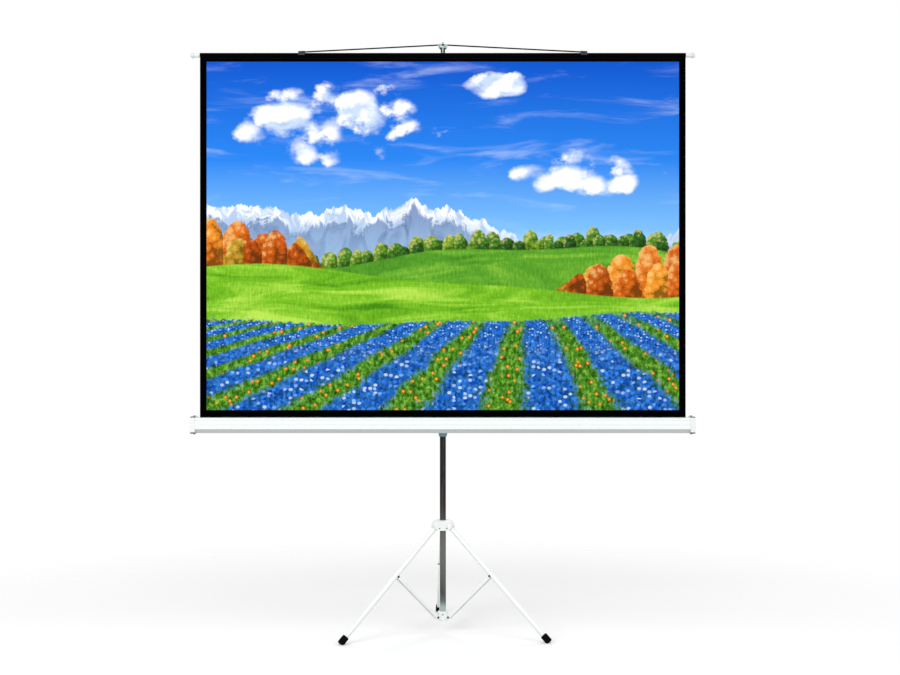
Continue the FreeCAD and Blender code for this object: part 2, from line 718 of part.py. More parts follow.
def plate_rivet_rods():
    rods = []
    for side_x in (-1, 1):
        for side_z in (-1, 1):
            x = side_x * (BACK_PLATE_W / 2 - PLATE_RIVET_INSET)
            z = CASE_CENTRE_Z + side_z * (BACK_PLATE_H / 2 - PLATE_RIVET_INSET)
            rods.append(rod(V(x, CASE_BACK_Y - CASE_WALL, z), V(x, BACK_PLATE_Y, z), PLATE_RIVET_R))
    return rods


def back_plate_rivets():
    rivets = []
    for shank in plate_rivet_rods():
        centre = shank.CenterOfMass
        start = V(centre.x, BACK_PLATE_Y, centre.z)
        head = rod(start, start + Y_AXIS * PLATE_RIVET_HEAD_T, PLATE_RIVET_HEAD_R)
        rivets.append(fused([shank, head]))
    return Part.makeCompound(rivets)


def pivot_hole():
    start = V(0, CASE_BACK_Y - CASE_WALL, PIVOT_Z)
    return rod(start, V(0, BACK_PLATE_Y, PIVOT_Z), PIVOT_BOLT_R + RUNNING_GAP)


def case_back_plate():
    half_w = BACK_PLATE_W / 2
    half_h = BACK_PLATE_H / 2
    plate = box(-half_w, half_w, CASE_BACK_Y, BACK_PLATE_Y, CASE_CENTRE_Z - half_h, CASE_CENTRE_Z + half_h)
    for hole in plate_rivet_rods() + [pivot_hole()]:
        plate = plate.cut(hole)
    return plate


# Case slider and pivot

def slider_boss_y():
    return BACK_PLATE_Y + FABRIC_GAP + WASHER_T


def pivot_bolt_tip_y():
    return -MAST_HALF - HUB_CLEARANCE - MAST_WALL


def case_slider():
    half = SLIDER_W / 2
    foot = SLIDER_FOOT_W / 2
    taper_z = SLIDER_BOTTOM_Z + SLIDER_TAPER_H
    outline = [
        V(-foot, SLIDER_FRONT_Y, SLIDER_BOTTOM_Z),
        V(foot, SLIDER_FRONT_Y, SLIDER_BOTTOM_Z),
        V(half, SLIDER_FRONT_Y, taper_z),
        V(half, SLIDER_FRONT_Y, SLIDER_TOP_Z),
        V(-half, SLIDER_FRONT_Y, SLIDER_TOP_Z),
        V(-half, SLIDER_FRONT_Y, taper_z),
    ]
    body = prism(outline, V(0, SLIDER_DEPTH, 0))
    boss = rod(V(0, slider_boss_y(), PIVOT_Z), V(0, SLIDER_FRONT_Y, PIVOT_Z), PIVOT_BOSS_R)
    body = fused([body, boss])
    bore = MAST_W + 2 * HUB_CLEARANCE
    body = body.cut(square_bar(bore, MAST_CORNER_R, SLIDER_BOTTOM_Z, SLIDER_TOP_Z))
    body = body.cut(rod(V(0, slider_boss_y(), PIVOT_Z), V(0, pivot_bolt_tip_y(), PIVOT_Z), PIVOT_BOLT_R))
    stem = rod(V(0, 0, SLIDER_KNOB_Z), V(0, SLIDER_BACK_Y, SLIDER_KNOB_Z), KNOB_STEM_R + RUNNING_GAP)
    return body.cut(stem)


def pivot_washer():
    start = V(0, BACK_PLATE_Y + FABRIC_GAP, PIVOT_Z)
    end = V(0, slider_boss_y(), PIVOT_Z)
    return rod(start, end, WASHER_R).cut(rod(start, end, PIVOT_BOLT_R))


def case_pivot_bolt():
    under_head = V(0, CASE_BACK_Y - CASE_WALL - FABRIC_GAP, PIVOT_Z)
    head = rod(under_head - Y_AXIS * PIVOT_HEAD_T, under_head, PIVOT_HEAD_R)
    shank = rod(under_head, V(0, pivot_bolt_tip_y(), PIVOT_Z), PIVOT_BOLT_R)
    return fused([head, shank])


def slider_knob():
    tip = MAST_HALF + HUB_CLEARANCE
    return knob(SLIDER_BACK_Y + KNOB_STANDOFF, SLIDER_KNOB_Z, tip, SLIDER_KNOB_R, SLIDER_KNOB_T)


# Roller

def roller_rod(x0, x1, radius):
    return rod(V(x0, ROLLER_AXIS_Y, CASE_CENTRE_Z), V(x1, ROLLER_AXIS_Y, CASE_CENTRE_Z), radius)


def roller_ring(x0, x1, outer_r, inner_r):
    return roller_rod(x0, x1, outer_r).cut(roller_rod(x0, x1, inner_r))


SHAFT_START = -CASE_HALF - BEARING_DEPTH
SHAFT_END = SHAFT_START + SHAFT_LENGTH
SPRING_START = -ROLLER_HALF + 2 * PLUG_LENGTH
SPRING_END = SHAFT_END - 2 * PLUG_LENGTH


def spring_shaft():
    return roller_rod(SHAFT_START, SHAFT_END, SHAFT_R)


def spring_anchor():
    return roller_ring(SPRING_START - PLUG_LENGTH / 2, SPRING_START, SPRING_OD / 2, SHAFT_R)


def roller_spring():
    return roller_ring(SPRING_START, SPRING_END, SPRING_OD / 2, SPRING_OD / 2 - SPRING_WIRE)


def roller_tube():
    return roller_ring(-ROLLER_HALF, ROLLER_HALF, ROLLER_R, ROLLER_R - ROLLER_WALL)


def fabric_wrap():
    return roller_ring(-FABRIC_W / 2, FABRIC_W / 2, WRAP_R, ROLLER_R)


def spring_side_plug():
    end = -ROLLER_HALF + PLUG_LENGTH
    return roller_ring(-ROLLER_HALF, end, ROLLER_R - ROLLER_WALL, SHAFT_R + RUNNING_GAP)


def spring_drive_plug():
    start = SPRING_END + FABRIC_GAP
    return roller_ring(start, start + PLUG_LENGTH, ROLLER_R - ROLLER_WALL, SHAFT_R + RUNNING_GAP)


def idler_plug():
    plug = roller_rod(ROLLER_HALF - PLUG_LENGTH, ROLLER_HALF, ROLLER_R - ROLLER_WALL)
    pin = roller_rod(ROLLER_HALF, CASE_HALF + BEARING_DEPTH - FABRIC_GAP, IDLER_PIN_R)
    return fused([plug, pin])


# Screen fabric and top bar

def screen_field():
    return box(-PICTURE_W / 2, PICTURE_W / 2, FABRIC_FRONT_Y, FABRIC_FRONT_Y + FABRIC_T,
               PICTURE_BOTTOM_Z, PICTURE_TOP_Z)


def screen_border():
    whole = box(-FABRIC_W / 2, FABRIC_W / 2, FABRIC_FRONT_Y, FABRIC_FRONT_Y + FABRIC_T,
                CASE_CENTRE_Z, FABRIC_TOP_Z)
    return whole.cut(screen_field())


def bar_rod(x0, x1, radius):
    return rod(V(x0, FABRIC_Y, BAR_Z), V(x1, FABRIC_Y, BAR_Z), radius)


def top_bar():
    return bar_rod(-BAR_HALF, BAR_HALF, BAR_OD / 2).cut(bar_rod(-BAR_HALF, BAR_HALF, BAR_OD / 2 - BAR_WALL))


def bar_hem():
    half = FABRIC_W / 2
    return bar_rod(-half, half, HEM_R).cut(bar_rod(-half, half, BAR_OD / 2))


def top_bar_cap():
    neck_end = BAR_HALF + BAR_CAP_NECK
    flange_end = neck_end + BAR_CAP_FLANGE_T
    nose_end = flange_end + BAR_CAP_NOSE
    spigot = bar_rod(BAR_HALF - BAR_CAP_SPIGOT, BAR_HALF, BAR_OD / 2 - BAR_WALL)
    neck = bar_rod(BAR_HALF, neck_end, BAR_CAP_NECK_R)
    flange = bar_rod(neck_end, flange_end, BAR_CAP_FLANGE_R)
    flange = flange.makeFillet(BAR_CAP_FLANGE_T / 3, [e for e in flange.Edges if e.Closed])
    nose = bar_rod(flange_end - BAR_CAP_FLANGE_T / 2, nose_end, BAR_CAP_NOSE_R)
    nose = fillet_where(nose, BAR_CAP_NOSE / 2, lambda e: abs(e.CenterOfMass.x - nose_end) < 1e-6)
    return fused([spigot, neck, flange, nose])


# Hanger cord: two straight runs and one arc over the hook's saddle

def cord_frame():
    foot = V(0, FABRIC_Y, CORD_EYE_Z)
    rise = CORD_TOP - foot
    return foot, V(rise).normalize(), rise.Length


def cord_arc_radius():
    return HOOK_SADDLE_R + CORD_GAP + CORD_R


def cord_points():
    foot, up, height = cord_frame()
    reach = EYE_SPACING / 2
    radius = cord_arc_radius()
    centre_h = height - radius
    distance = math.hypot(reach, centre_h)
    angle = math.atan2(centre_h, reach) + math.asin(radius / distance)
    run = math.sqrt(distance * distance - radius * radius)
    start = foot - X_AXIS * reach
    direction = X_AXIS * math.cos(angle) + up * math.sin(angle)
    return start, direction, start + direction * run


def hanger_cord():
    start, direction, touch = cord_points()
    other_touch = V(-touch.x, touch.y, touch.z)
    other_start = V(-start.x, start.y, start.z)
    path = Part.Wire([
        Part.LineSegment(start, touch).toShape(),
        Part.Arc(touch, CORD_TOP, other_touch).toShape(),
        Part.LineSegment(other_touch, other_start).toShape(),
    ])
    section = Part.Wire(Part.makeCircle(CORD_R, start, direction))
    tube = path.makePipeShell([section], True, False)
    expected = math.pi * CORD_R ** 2 * path.Length
    print("cord length", round(path.Length, 1), "arc radius", round(cord_arc_radius(), 2),
          "volume ratio", round(tube.Volume / expected, 4))
    return tube


def cord_eye():
    start, direction, touch = cord_points()
    half = direction * (EYE_WIDTH / 2)
    x0 = start.x - EYE_WIDTH / 2
    x1 = start.x + EYE_WIDTH / 2
    ring = bar_rod(x0, x1, HEM_R + EYE_RING_T)
    upper = box(x0, x1, FABRIC_Y - BAR_OD, FABRIC_Y + BAR_OD, BAR_Z, BAR_Z + BAR_OD)
    boss = rod(start - half, start + half, EYE_BOSS_R)
    eye = fused([ring.common(upper), boss])
    eye = eye.cut(bar_rod(start.x - EYE_WIDTH, start.x + EYE_WIDTH, HEM_R))
    return eye.cut(rod(start, start + half * 2, CORD_R))


# All pieces by name

def tripod_nodes():
    nodes = {}
    for number, azimuth in enumerate(LEG_AZIMUTHS, 1):
        turn = azimuth + LEG_TURN
        nodes[f"leg_tube_{number}"] = turned(leg_tube(), turn)
        nodes[f"leg_top_{number}"] = turned(leg_top(), turn)
        nodes[f"leg_foot_{number}"] = turned(leg_foot(), turn)
        nodes[f"brace_rivet_{number}"] = turned(brace_rivet(), turn)
        nodes[f"brace_{number}"] = turned(brace(), turn)
    turns = [azimuth + LEG_TURN for azimuth in LEG_AZIMUTHS]
    nodes["collar_brace_pins"] = Part.makeCompound([turned(collar_pin(), turn) for turn in turns])
    nodes["hub_leg_pins"] = Part.makeCompound([turned(hub_pin(), turn) for turn in turns])
    return nodes


def all_nodes():
    nodes = {
        "mast_tube": mast_tube(),
        "base_collar": base_collar(),
        "collar_screw": collar_screw(),
        "mast_top_bush": mast_top_bush(),
        "mast_knob": mast_knob(),
        "leg_hub": leg_hub(),
        "hub_grip_spring": hub_grip_spring(),
        "hub_stop_rivet": hub_stop_rivet(),
        "extension_tube": extension_tube(),
        "extension_glide": extension_glide(),
        "hook_plug": hook_plug(),
        "hook_back_plate": hook_back_plate(),
        "hook_saddle": hook_saddle(),
        "hook_front_plate": hook_front_plate(),
        "hook_rivets": Part.makeCompound(hook_rivet_rods()),
        "case_slider": case_slider(),
        "case_pivot_bolt": case_pivot_bolt(),
        "pivot_washer": pivot_washer(),
        "slider_knob": slider_knob(),
        "case_shell": case_shell(),
        "case_end_cap_left": mirrored(end_cap(SHAFT_R)),
        "case_end_cap_right": end_cap(IDLER_PIN_R + RUNNING_GAP),
        "end_cap_screws": end_cap_screws(),
        "case_back_plate": case_back_plate(),
        "back_plate_rivets": back_plate_rivets(),
        "spring_shaft": spring_shaft(),
        "spring_anchor": spring_anchor(),
        "roller_spring": roller_spring(),
        "roller_tube": roller_tube(),
        "fabric_wrap": fabric_wrap(),
        "spring_side_plug": spring_side_plug(),
        "spring_drive_plug": spring_drive_plug(),
        "idler_plug": idler_plug(),
        "screen_field": screen_field(),
        "screen_border": screen_border(),
        "top_bar": top_bar(),
        "bar_hem": bar_hem(),
        "top_bar_cap_left": mirrored(top_bar_cap()),
        "top_bar_cap_right": top_bar_cap(),
        "cord_eye_left": cord_eye(),
        "cord_eye_right": mirrored(cord_eye()),
        "hanger_cord": hanger_cord(),
    }
    nodes.update(tripod_nodes())
    return nodes


NODES = all_nodes()
WHOLE_BOX = Part.makeCompound(list(NODES.values())).optimalBoundingBox(False)
SHIFT_Y = -(WHOLE_BOX.YMin + WHOLE_BOX.YMax) / 2

os.makedirs("parts", exist_ok=True)
for name, shape in NODES.items():
    placed = shape.copy()
    placed.translate(V(0, SHIFT_Y, 0))
    placed.exportStep(f"parts/{name}.step")
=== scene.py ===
import math

import bmesh
import bpy
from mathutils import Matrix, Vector


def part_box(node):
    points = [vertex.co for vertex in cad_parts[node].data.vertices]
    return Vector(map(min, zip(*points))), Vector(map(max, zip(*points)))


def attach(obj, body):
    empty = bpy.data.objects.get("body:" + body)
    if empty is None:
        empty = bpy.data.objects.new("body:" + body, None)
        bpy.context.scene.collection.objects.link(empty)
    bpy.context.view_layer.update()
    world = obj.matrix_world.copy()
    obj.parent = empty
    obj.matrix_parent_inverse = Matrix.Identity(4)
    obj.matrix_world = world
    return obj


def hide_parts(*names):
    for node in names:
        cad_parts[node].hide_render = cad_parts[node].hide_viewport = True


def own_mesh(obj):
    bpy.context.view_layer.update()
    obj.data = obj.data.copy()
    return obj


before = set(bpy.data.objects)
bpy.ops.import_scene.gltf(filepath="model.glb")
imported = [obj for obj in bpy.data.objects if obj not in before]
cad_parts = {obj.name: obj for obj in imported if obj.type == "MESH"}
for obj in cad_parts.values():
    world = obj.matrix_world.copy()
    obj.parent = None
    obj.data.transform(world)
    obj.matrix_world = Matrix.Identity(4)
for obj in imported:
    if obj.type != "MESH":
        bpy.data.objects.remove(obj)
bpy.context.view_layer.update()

# Camera, solved from the photograph: level and square on
LENS_MM = 60.23
SENSOR_MM = 36.0
CAMERA_PLACE = (0.026, -5.5966, 1.0765)
LEVEL_VIEW = (math.pi / 2, 0, 0)

# Lamps: place, the point that the lamp faces, its width and height, and its watts
LAMPS = {
    "key": ((-2.6, -4.6, 2.8), (0, 0, 1.2), (2.4, 2.4), 120),
    "fill": ((3.4, -4.2, 2.2), (0, 0, 1.0), (2.6, 2.6), 70),
    "back": ((0.8, 3.6, 3.8), (0, 0, 1.2), (2.4, 2.0), 40),
    "top": ((0.0, -1.2, 4.6), (0, -0.3, 0), (3.2, 3.2), 15),
}
SURROUNDINGS_LIGHT = 0.62

# Floor: a round plate that fades out between two distances from the mast
FLOOR_R = 3.0
FLOOR_SIDES = 64
FLOOR_FADE_START = 1.0
FLOOR_FADE_END = 2.6
FLOOR_GLOW = 0.055

# Screen sheet, with a ripple whose turns are in radians over the sheet's width and height
PICTURE_LOW, PICTURE_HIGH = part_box("screen_field")
SHEET_LOW, SHEET_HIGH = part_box("screen_border")
SHEET_T = SHEET_HIGH.y - SHEET_LOW.y
SHEET_Y = (SHEET_LOW.y + SHEET_HIGH.y) / 2
SHEET_COLUMNS = 72
SHEET_ROWS = 56
RIPPLE_DEPTH = 0.0005
RIPPLE_ACROSS = 9.0
RIPPLE_PHASE = 1.3
RIPPLE_FADE_ACROSS = 3.0
RIPPLE_FADE_DOWN = 2.0

# Roller case: the height where its slanted lower front meets its face; below it the enamel is darkened as
# painted shade
BEVEL_TOP_Z = 0.748
BEVEL_BLUR = 0.001

# Painted shade at the corners of the case's end caps: how far in from each side it starts to fade and is
# gone
CORNER_SHADE_FOOT = (0.0045, 0.0070)
CORNER_SHADE_HEAD = (0.0030, 0.0050)
CORNER_SHADE_FRONT = (0.011, 0.017)
CORNER_SHADE_BACK = (0.007, 0.012)
CORNER_SHADE_RAGGED = 0.006

# Hem round the top bar, with puckers as (height, radians from one section to the next)
HEM_LOW, HEM_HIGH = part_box("bar_hem")
BAR_Z = (HEM_LOW.z + HEM_HIGH.z) / 2
HEM_R = (HEM_HIGH.z - HEM_LOW.z) / 2
HEM_T = 0.0006
HEM_TAIL = 0.006
HEM_LEAVES_BAR = math.radians(38)
HEM_ARC_STEPS = 20
HEM_SECTIONS = 176
HEM_PUCKERS = ((0.00012, 2.1), (0.00010, 0.77))

# Stitches along the hem's tail
STITCH_PITCH = 0.0062
STITCH_LENGTH = 0.0042
STITCH_R = 0.00035
STITCH_END_MARGIN = 0.01
STITCH_DROP_SHARE = 0.55
STITCH_PROUD_SHARE = 0.4
STITCH_HEIGHT_SHARE = 1.4

# Hanger cord: the route's left half, its length and its braid
CORD_D = 0.005
CORD_EXIT = (-0.511, SHEET_Y, 2.1096)
CORD_BEFORE_HOOK = (-0.030, -0.1127, 2.1405)
CORD_OVER_HOOK = (0.0, -0.1106, 2.1429)
CORD_RISE = (CORD_OVER_HOOK[2] - CORD_EXIT[2]) / -CORD_EXIT[0]
BRAID_TURN_PER_M = 1300.0
BRAID_STRANDS = 4

# Hook: heights and half width where its steel changes from dark to pale
HOOK_STEM_DARK_Z = 2.136
HOOK_STEM_PALE_Z = 2.146
HOOK_TANG_LOW_Z = 2.1305
HOOK_TANG_HIGH_Z = 2.1345
HOOK_TANG_PALE_HALF = 0.0026
HOOK_TANG_DARK_HALF = 0.0036

# Wound end of the sheet on the roller
WRAP_LOW, WRAP_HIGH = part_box("fabric_wrap")
WRAP_R = (WRAP_HIGH.z - WRAP_LOW.z) / 2
WRAP_Z = (WRAP_HIGH.z + WRAP_LOW.z) / 2
WRAP_Y = (WRAP_HIGH.y + WRAP_LOW.y) / 2
WRAP_TURNS = 2
WRAP_STEPS = 40
WRAP_PITCH = 0.00045
WRAP_CLOTH_T = 0.0003


def srgb(red, green, blue):
    """A colour written as 0 to 255 screen values, as the linear colour that a shader takes."""
    def linear(value):
        share = value / 255
        return share / 12.92 if share <= 0.04045 else ((share + 0.055) / 1.055) ** 2.4
    return (linear(red), linear(green), linear(blue), 1.0)


def shade(colour, factor):
    return tuple(channel * factor for channel in colour[:3]) + (1.0,)


class Graph:
    """One material's nodes, made by short calls that each return an output socket."""

    def __init__(self, name):
        self.material = bpy.data.materials.new(name)
        self.material.use_nodes = True
        self.nodes = self.material.node_tree.nodes
        self.links = self.material.node_tree.links
        self.shader = self.nodes["Principled BSDF"]
        self.place = self.add("ShaderNodeTexCoord").outputs["Object"]

    def put(self, socket, value):
        if isinstance(value, bpy.types.NodeSocket):
            self.links.new(value, socket)
        else:
            socket.default_value = value

    def add(self, kind, inputs=None, **settings):
        node = self.nodes.new(kind)
        for name, value in settings.items():
            setattr(node, name, value)
        for name, value in (inputs or {}).items():
            self.put(node.inputs[name], value)
        return node

    def set(self, **values):
        """Sockets of the shader by name, with _ for a space."""
        for name, value in values.items():
            self.put(self.shader.inputs[name.replace("_", " ")], value)

    def math(self, operation, a, b=0.0):
        return self.add("ShaderNodeMath", {0: a, 1: b}, operation=operation).outputs[0]

    def plus(self, a, b):
        return self.math("ADD", a, b)

    def minus(self, a, b):
        return self.math("SUBTRACT", a, b)

    def times(self, a, b):
        return self.math("MULTIPLY", a, b)

    def most(self, a, b):
        return self.math("MAXIMUM", a, b)

    def least(self, a, b):
        return self.math("MINIMUM", a, b)

    def sine(self, a):
        return self.math("SINE", a)

    def absolute(self, a):
        return self.math("ABSOLUTE", a)

    def swing(self, value, reach):
        """A value between 0 and 1, moved to lie round 0 and stretched to that reach."""
        return self.times(self.minus(value, 0.5), reach)

    def rise(self, value, low, high, start=0.0, end=1.0, smooth=True):
        """Goes from start to end while value goes from low to high."""
        kind = "SMOOTHSTEP" if smooth else "LINEAR"
        names = {"Value": value, "From Min": low, "From Max": high, "To Min": start, "To Max": end}
        return self.add("ShaderNodeMapRange", names, interpolation_type=kind, clamp=True).outputs["Result"]

    def fall(self, value, low, high):
        """Goes from 1 to 0 while value goes from low to high."""
        return self.rise(value, low, high, start=1.0, end=0.0)

    def split(self, vector):
        return self.add("ShaderNodeSeparateXYZ", {0: vector}).outputs

    def join(self, x, y, z=0.0):
        return self.add("ShaderNodeCombineXYZ", {0: x, 1: y, 2: z}).outputs[0]

    def scaled(self, vector, factors):
        node = self.add("ShaderNodeVectorMath", {0: vector, 1: factors}, operation="MULTIPLY")
        return node.outputs[0]

    def noise(self, vector, scale, detail=4.0, rough=0.5, bend=0.0, flat=False):
        names = {"Vector": vector, "Scale": scale, "Detail": detail, "Roughness": rough, "Distortion": bend}
        kind = "2D" if flat else "3D"
        return self.add("ShaderNodeTexNoise", names, noise_dimensions=kind).outputs[0]

    def cells(self, vector, scale, what="Distance"):
        """Flat Voronoi cells: the distance from each cell's middle, or each cell's colour."""
        names = {"Vector": vector, "Scale": scale}
        return self.add("ShaderNodeTexVoronoi", names, voronoi_dimensions="2D").outputs[what]

    def mix(self, share, a, b):
        node = self.add("ShaderNodeMix", {0: share, 6: a, 7: b}, data_type="RGBA")
        return node.outputs[2]

    def ramp(self, value, stops):
        """A colour ramp through (place, colour) stops."""
        node = self.add("ShaderNodeValToRGB", {0: value})
        line = node.color_ramp.elements
        while len(line) < len(stops):
            line.new(0.5)
        for point, (place, colour) in zip(line, stops):
            point.position = place
            point.color = colour
        return node.outputs[0]

    def bump(self, height, distance, strength=1.0):
        """Bump from a height between 0 and 1 that stands for distance metres."""
        names = {"Height": height, "Distance": distance, "Strength": strength}
        self.set(Normal=self.add("ShaderNodeBump", names).outputs[0])


# Materials of the stand and the case

def enamel(name, colour, roughness=0.34, painted_shade_below=0.0):
    """Stove enamel on steel: faint cloudiness, orange peel, a little dust, and painted shade on low faces.
    """
    g = Graph(name)
    cloud = g.noise(g.place, scale=14, detail=3)
    dust = g.rise(g.noise(g.place, scale=420, detail=2, rough=0.6), 0.62, 0.74)
    body = g.mix(cloud, shade(colour, 0.955), colour)
    # Painted shade: faces below that height, the slanted lower front of the case, are darkened
    if painted_shade_below:
        height = g.split(g.place)[2]
        low = g.fall(height, painted_shade_below - BEVEL_BLUR, painted_shade_below + BEVEL_BLUR)
        body = g.mix(low, body, shade(colour, 0.63))
    g.set(Base_Color=g.mix(g.times(dust, 0.22), body, shade(colour, 0.80)))
    rub = g.noise(g.place, scale=60, detail=4)
    g.set(Roughness=g.rise(rub, 0.3, 0.7, start=roughness - 0.06, end=roughness + 0.10))
    g.set(Coat_Weight=0.25, Coat_Roughness=0.18, IOR=1.5)
    peel = g.noise(g.place, scale=850, detail=2, rough=0.4)
    g.bump(peel, distance=0.00006, strength=0.35)
    return g.material


def shaded_corners(g, low, high):
    """Where painted shade goes: 1 along the long edges of a box from its low to its high corner, with a
    ragged rim.
    """
    ragged = g.swing(g.noise(g.place, scale=420, detail=5, rough=0.7), CORNER_SHADE_RAGGED)
    _, y, z = g.split(g.place)
    depth = g.plus(y, ragged)
    height = g.plus(z, ragged)
    foot = g.fall(height, low.z + CORNER_SHADE_FOOT[0], low.z + CORNER_SHADE_FOOT[1])
    head = g.rise(height, high.z - CORNER_SHADE_HEAD[1], high.z - CORNER_SHADE_HEAD[0])
    front = g.fall(depth, low.y + CORNER_SHADE_FRONT[0], low.y + CORNER_SHADE_FRONT[1])
    back = g.rise(depth, high.y - CORNER_SHADE_BACK[1], high.y - CORNER_SHADE_BACK[0])
    return g.times(g.most(foot, head), g.most(front, back))


def plastic(name, colour, roughness, shaded_box=None):
    """Moulded plastic: spark-eroded grain, flow clouding, handling marks and, on a given box, painted shade
    along its corners.
    """
    g = Graph(name)
    flow = g.noise(g.scaled(g.place, (1.0, 1.0, 0.35)), scale=32, detail=4, rough=0.55, bend=0.6)
    body = g.mix(flow, shade(colour, 0.88), shade(colour, 1.06))
    handled = g.noise(g.scaled(g.place, (1.0, 1.0, 6.0)), scale=110, detail=5, rough=0.65)
    marks = g.rise(handled, 0.60, 0.78)
    body = g.mix(g.times(marks, 0.16), body, shade(colour, 0.70))
    # Painted shade: near black along the corners of the given box
    if shaded_box:
        body = g.mix(g.times(shaded_corners(g, *shaded_box), 0.85), body, srgb(40, 44, 43))
    g.set(Base_Color=body)
    g.set(Roughness=g.plus(g.times(marks, 0.12), roughness))
    grain = g.noise(g.place, scale=1600, detail=2, rough=0.5)
    g.bump(grain, distance=0.00005, strength=0.4)
    return g.material


def plated(name):
    """Dark bright plating with drawn lines along the tube, and painted light: painted reflections make it
    darker up the mast and paler near its foot, with a painted shadow just under the slider and a painted
    reflection streak down the middle.
    """
    g = Graph(name)
    x, _, height = g.split(g.place)
    uneven = g.noise(g.scaled(g.place, (1, 1, 0.2)), scale=34, detail=4)
    # Painted reflections and a painted shadow: the tone changes with height, pale near the foot, dark up
    # the mast, darkest just under the slider
    painted_light_tone = g.ramp(g.plus(height, g.swing(uneven, 0.10)), [
        (0.105, srgb(168, 182, 178)),
        (0.125, srgb(98, 108, 102)),
        (0.15, srgb(70, 71, 66)),
        (0.21, srgb(88, 90, 85)),
        (0.30, srgb(102, 106, 101)),
        (0.37, srgb(94, 95, 91)),
        (0.42, srgb(66, 63, 60)),
        (0.47, srgb(40, 36, 35)),
        (0.56, srgb(29, 25, 25)),
        (0.66, srgb(31, 28, 28)),
        (0.705, srgb(22, 26, 25)),
        (0.79, srgb(40, 37, 37)),
    ])
    lines = g.noise(g.scaled(g.place, (1, 1, 0.012)), scale=1500, detail=3, rough=0.6)
    # Painted reflection: a pale, broken streak down the middle of the tube
    middle = g.fall(g.absolute(g.minus(x, 0.001)), 0.002, 0.0055)
    streak_breakup = g.noise(g.scaled(g.place, (1, 1, 0.05)), scale=160, detail=5, rough=0.6)
    painted_streak = g.times(middle, g.rise(streak_breakup, 0.42, 0.66))
    painted_light_tone = g.mix(g.times(painted_streak, 0.30), painted_light_tone, srgb(146, 142, 136))
    haze = g.rise(g.noise(g.scaled(g.place, (1, 1, 0.3)), scale=90, detail=5, rough=0.6), 0.45, 0.75)
    g.set(Base_Color=g.mix(g.times(lines, 0.25), painted_light_tone, g.mix(0.3, painted_light_tone, srgb(150, 148, 146))))
    g.set(Metallic=0.92, Roughness=g.plus(g.times(haze, 0.16), 0.16))
    g.bump(lines, distance=0.00002, strength=0.5)
    return g.material


def scratches(g):
    """Fine scratches that run up and down."""
    return g.noise(g.scaled(g.place, (8, 1, 1)), scale=900, detail=3, rough=0.7)


def bare_metal(name, colour, roughness=0.34, metallic=0.9):
    """Zinc or plain steel: fine random scratches and a cloudy passivation."""
    g = Graph(name)
    cloud = g.noise(g.place, scale=160, detail=4, rough=0.6)
    scratch = g.rise(scratches(g), 0.55, 0.7)
    body = g.mix(cloud, shade(colour, 0.75), shade(colour, 1.2))
    g.set(Base_Color=g.mix(g.times(scratch, 0.3), body, shade(colour, 0.55)))
    g.set(Metallic=metallic, Roughness=g.plus(g.times(cloud, 0.2), roughness - 0.1))
    g.bump(scratch, distance=0.00003, strength=0.4)
    return g.material


def hook_stem(name):
    """Steel that is dark where it lies against the mast and paler towards its tip."""
    g = Graph(name)
    height = g.split(g.place)[2]
    cloud = g.noise(g.place, scale=240, detail=4, rough=0.6)
    tip = g.rise(g.plus(height, g.times(cloud, 0.006)), HOOK_STEM_DARK_Z, HOOK_STEM_PALE_Z)
    g.set(Base_Color=g.mix(tip, srgb(30, 33, 32), srgb(150, 164, 158)))
    g.set(Metallic=0.55, Roughness=g.plus(g.times(cloud, 0.2), 0.34))
    g.bump(scratches(g), distance=0.00003, strength=0.4)
    return g.material


def hook_plate(name):
    """Weathered sheet steel: mottled, with dark edges down its narrow tang."""
    g = Graph(name)
    x, _, z = g.split(g.place)
    mottle = g.noise(g.place, scale=230, detail=5, rough=0.7)
    fan = g.ramp(mottle, [
        (0.36, srgb(88, 102, 98)),
        (0.50, srgb(150, 164, 157)),
        (0.64, srgb(214, 226, 220)),
    ])
    tang = g.fall(g.plus(z, g.times(mottle, 0.003)), HOOK_TANG_LOW_Z, HOOK_TANG_HIGH_Z)
    out = g.plus(g.absolute(x), g.times(mottle, 0.001))
    edge = g.rise(out, HOOK_TANG_PALE_HALF, HOOK_TANG_DARK_HALF)
    g.set(Base_Color=g.mix(g.times(tang, edge), fan, srgb(34, 40, 39)))
    g.set(Metallic=0.5, Roughness=g.plus(g.times(mottle, 0.2), 0.34))
    g.bump(scratches(g), distance=0.00003, strength=0.4)
    return g.material


def rubber(name):
    """Black rubber with a dull grey bloom."""
    g = Graph(name)
    bloom = g.rise(g.noise(g.place, scale=70, detail=5, rough=0.6), 0.45, 0.75)
    g.set(Base_Color=g.mix(g.times(bloom, 0.4), srgb(3, 4, 4), srgb(16, 18, 17)))
    g.set(Roughness=g.rise(bloom, 0.0, 1.0, start=0.56, end=0.80), Specular_IOR_Level=0.04)
    pits = g.noise(g.place, scale=1100, detail=3, rough=0.6)
    g.bump(pits, distance=0.00015, strength=0.5)
    return g.material


# Materials of the screen

def weave_height(g, pitch):
    """Over-and-under threads along x and z at that pitch, between 0 and 1."""
    x, _, z = g.split(g.place)
    turn = 2 * math.pi / pitch
    across = g.sine(g.times(x, turn))
    along = g.sine(g.times(z, turn))
    return g.plus(g.times(g.times(across, along), 0.5), 0.5)


def black_cloth(name, colour, pitch=0.0011, gloss=0.2, lint_share=0.10):
    """Black coated backing cloth: weave, lint and a slight coating gloss."""
    g = Graph(name)
    lint = g.rise(g.noise(g.scaled(g.place, (1, 1, 2.5)), scale=380, detail=4, rough=0.7), 0.62, 0.75)
    cloud = g.noise(g.place, scale=9, detail=3)
    body = g.mix(cloud, shade(colour, 0.8), shade(colour, 1.4))
    g.set(Base_Color=g.mix(g.times(lint, lint_share), body, srgb(70, 70, 72)))
    g.set(Roughness=0.82, Specular_IOR_Level=gloss)
    g.bump(weave_height(g, pitch), distance=0.00012, strength=0.5)
    return g.material


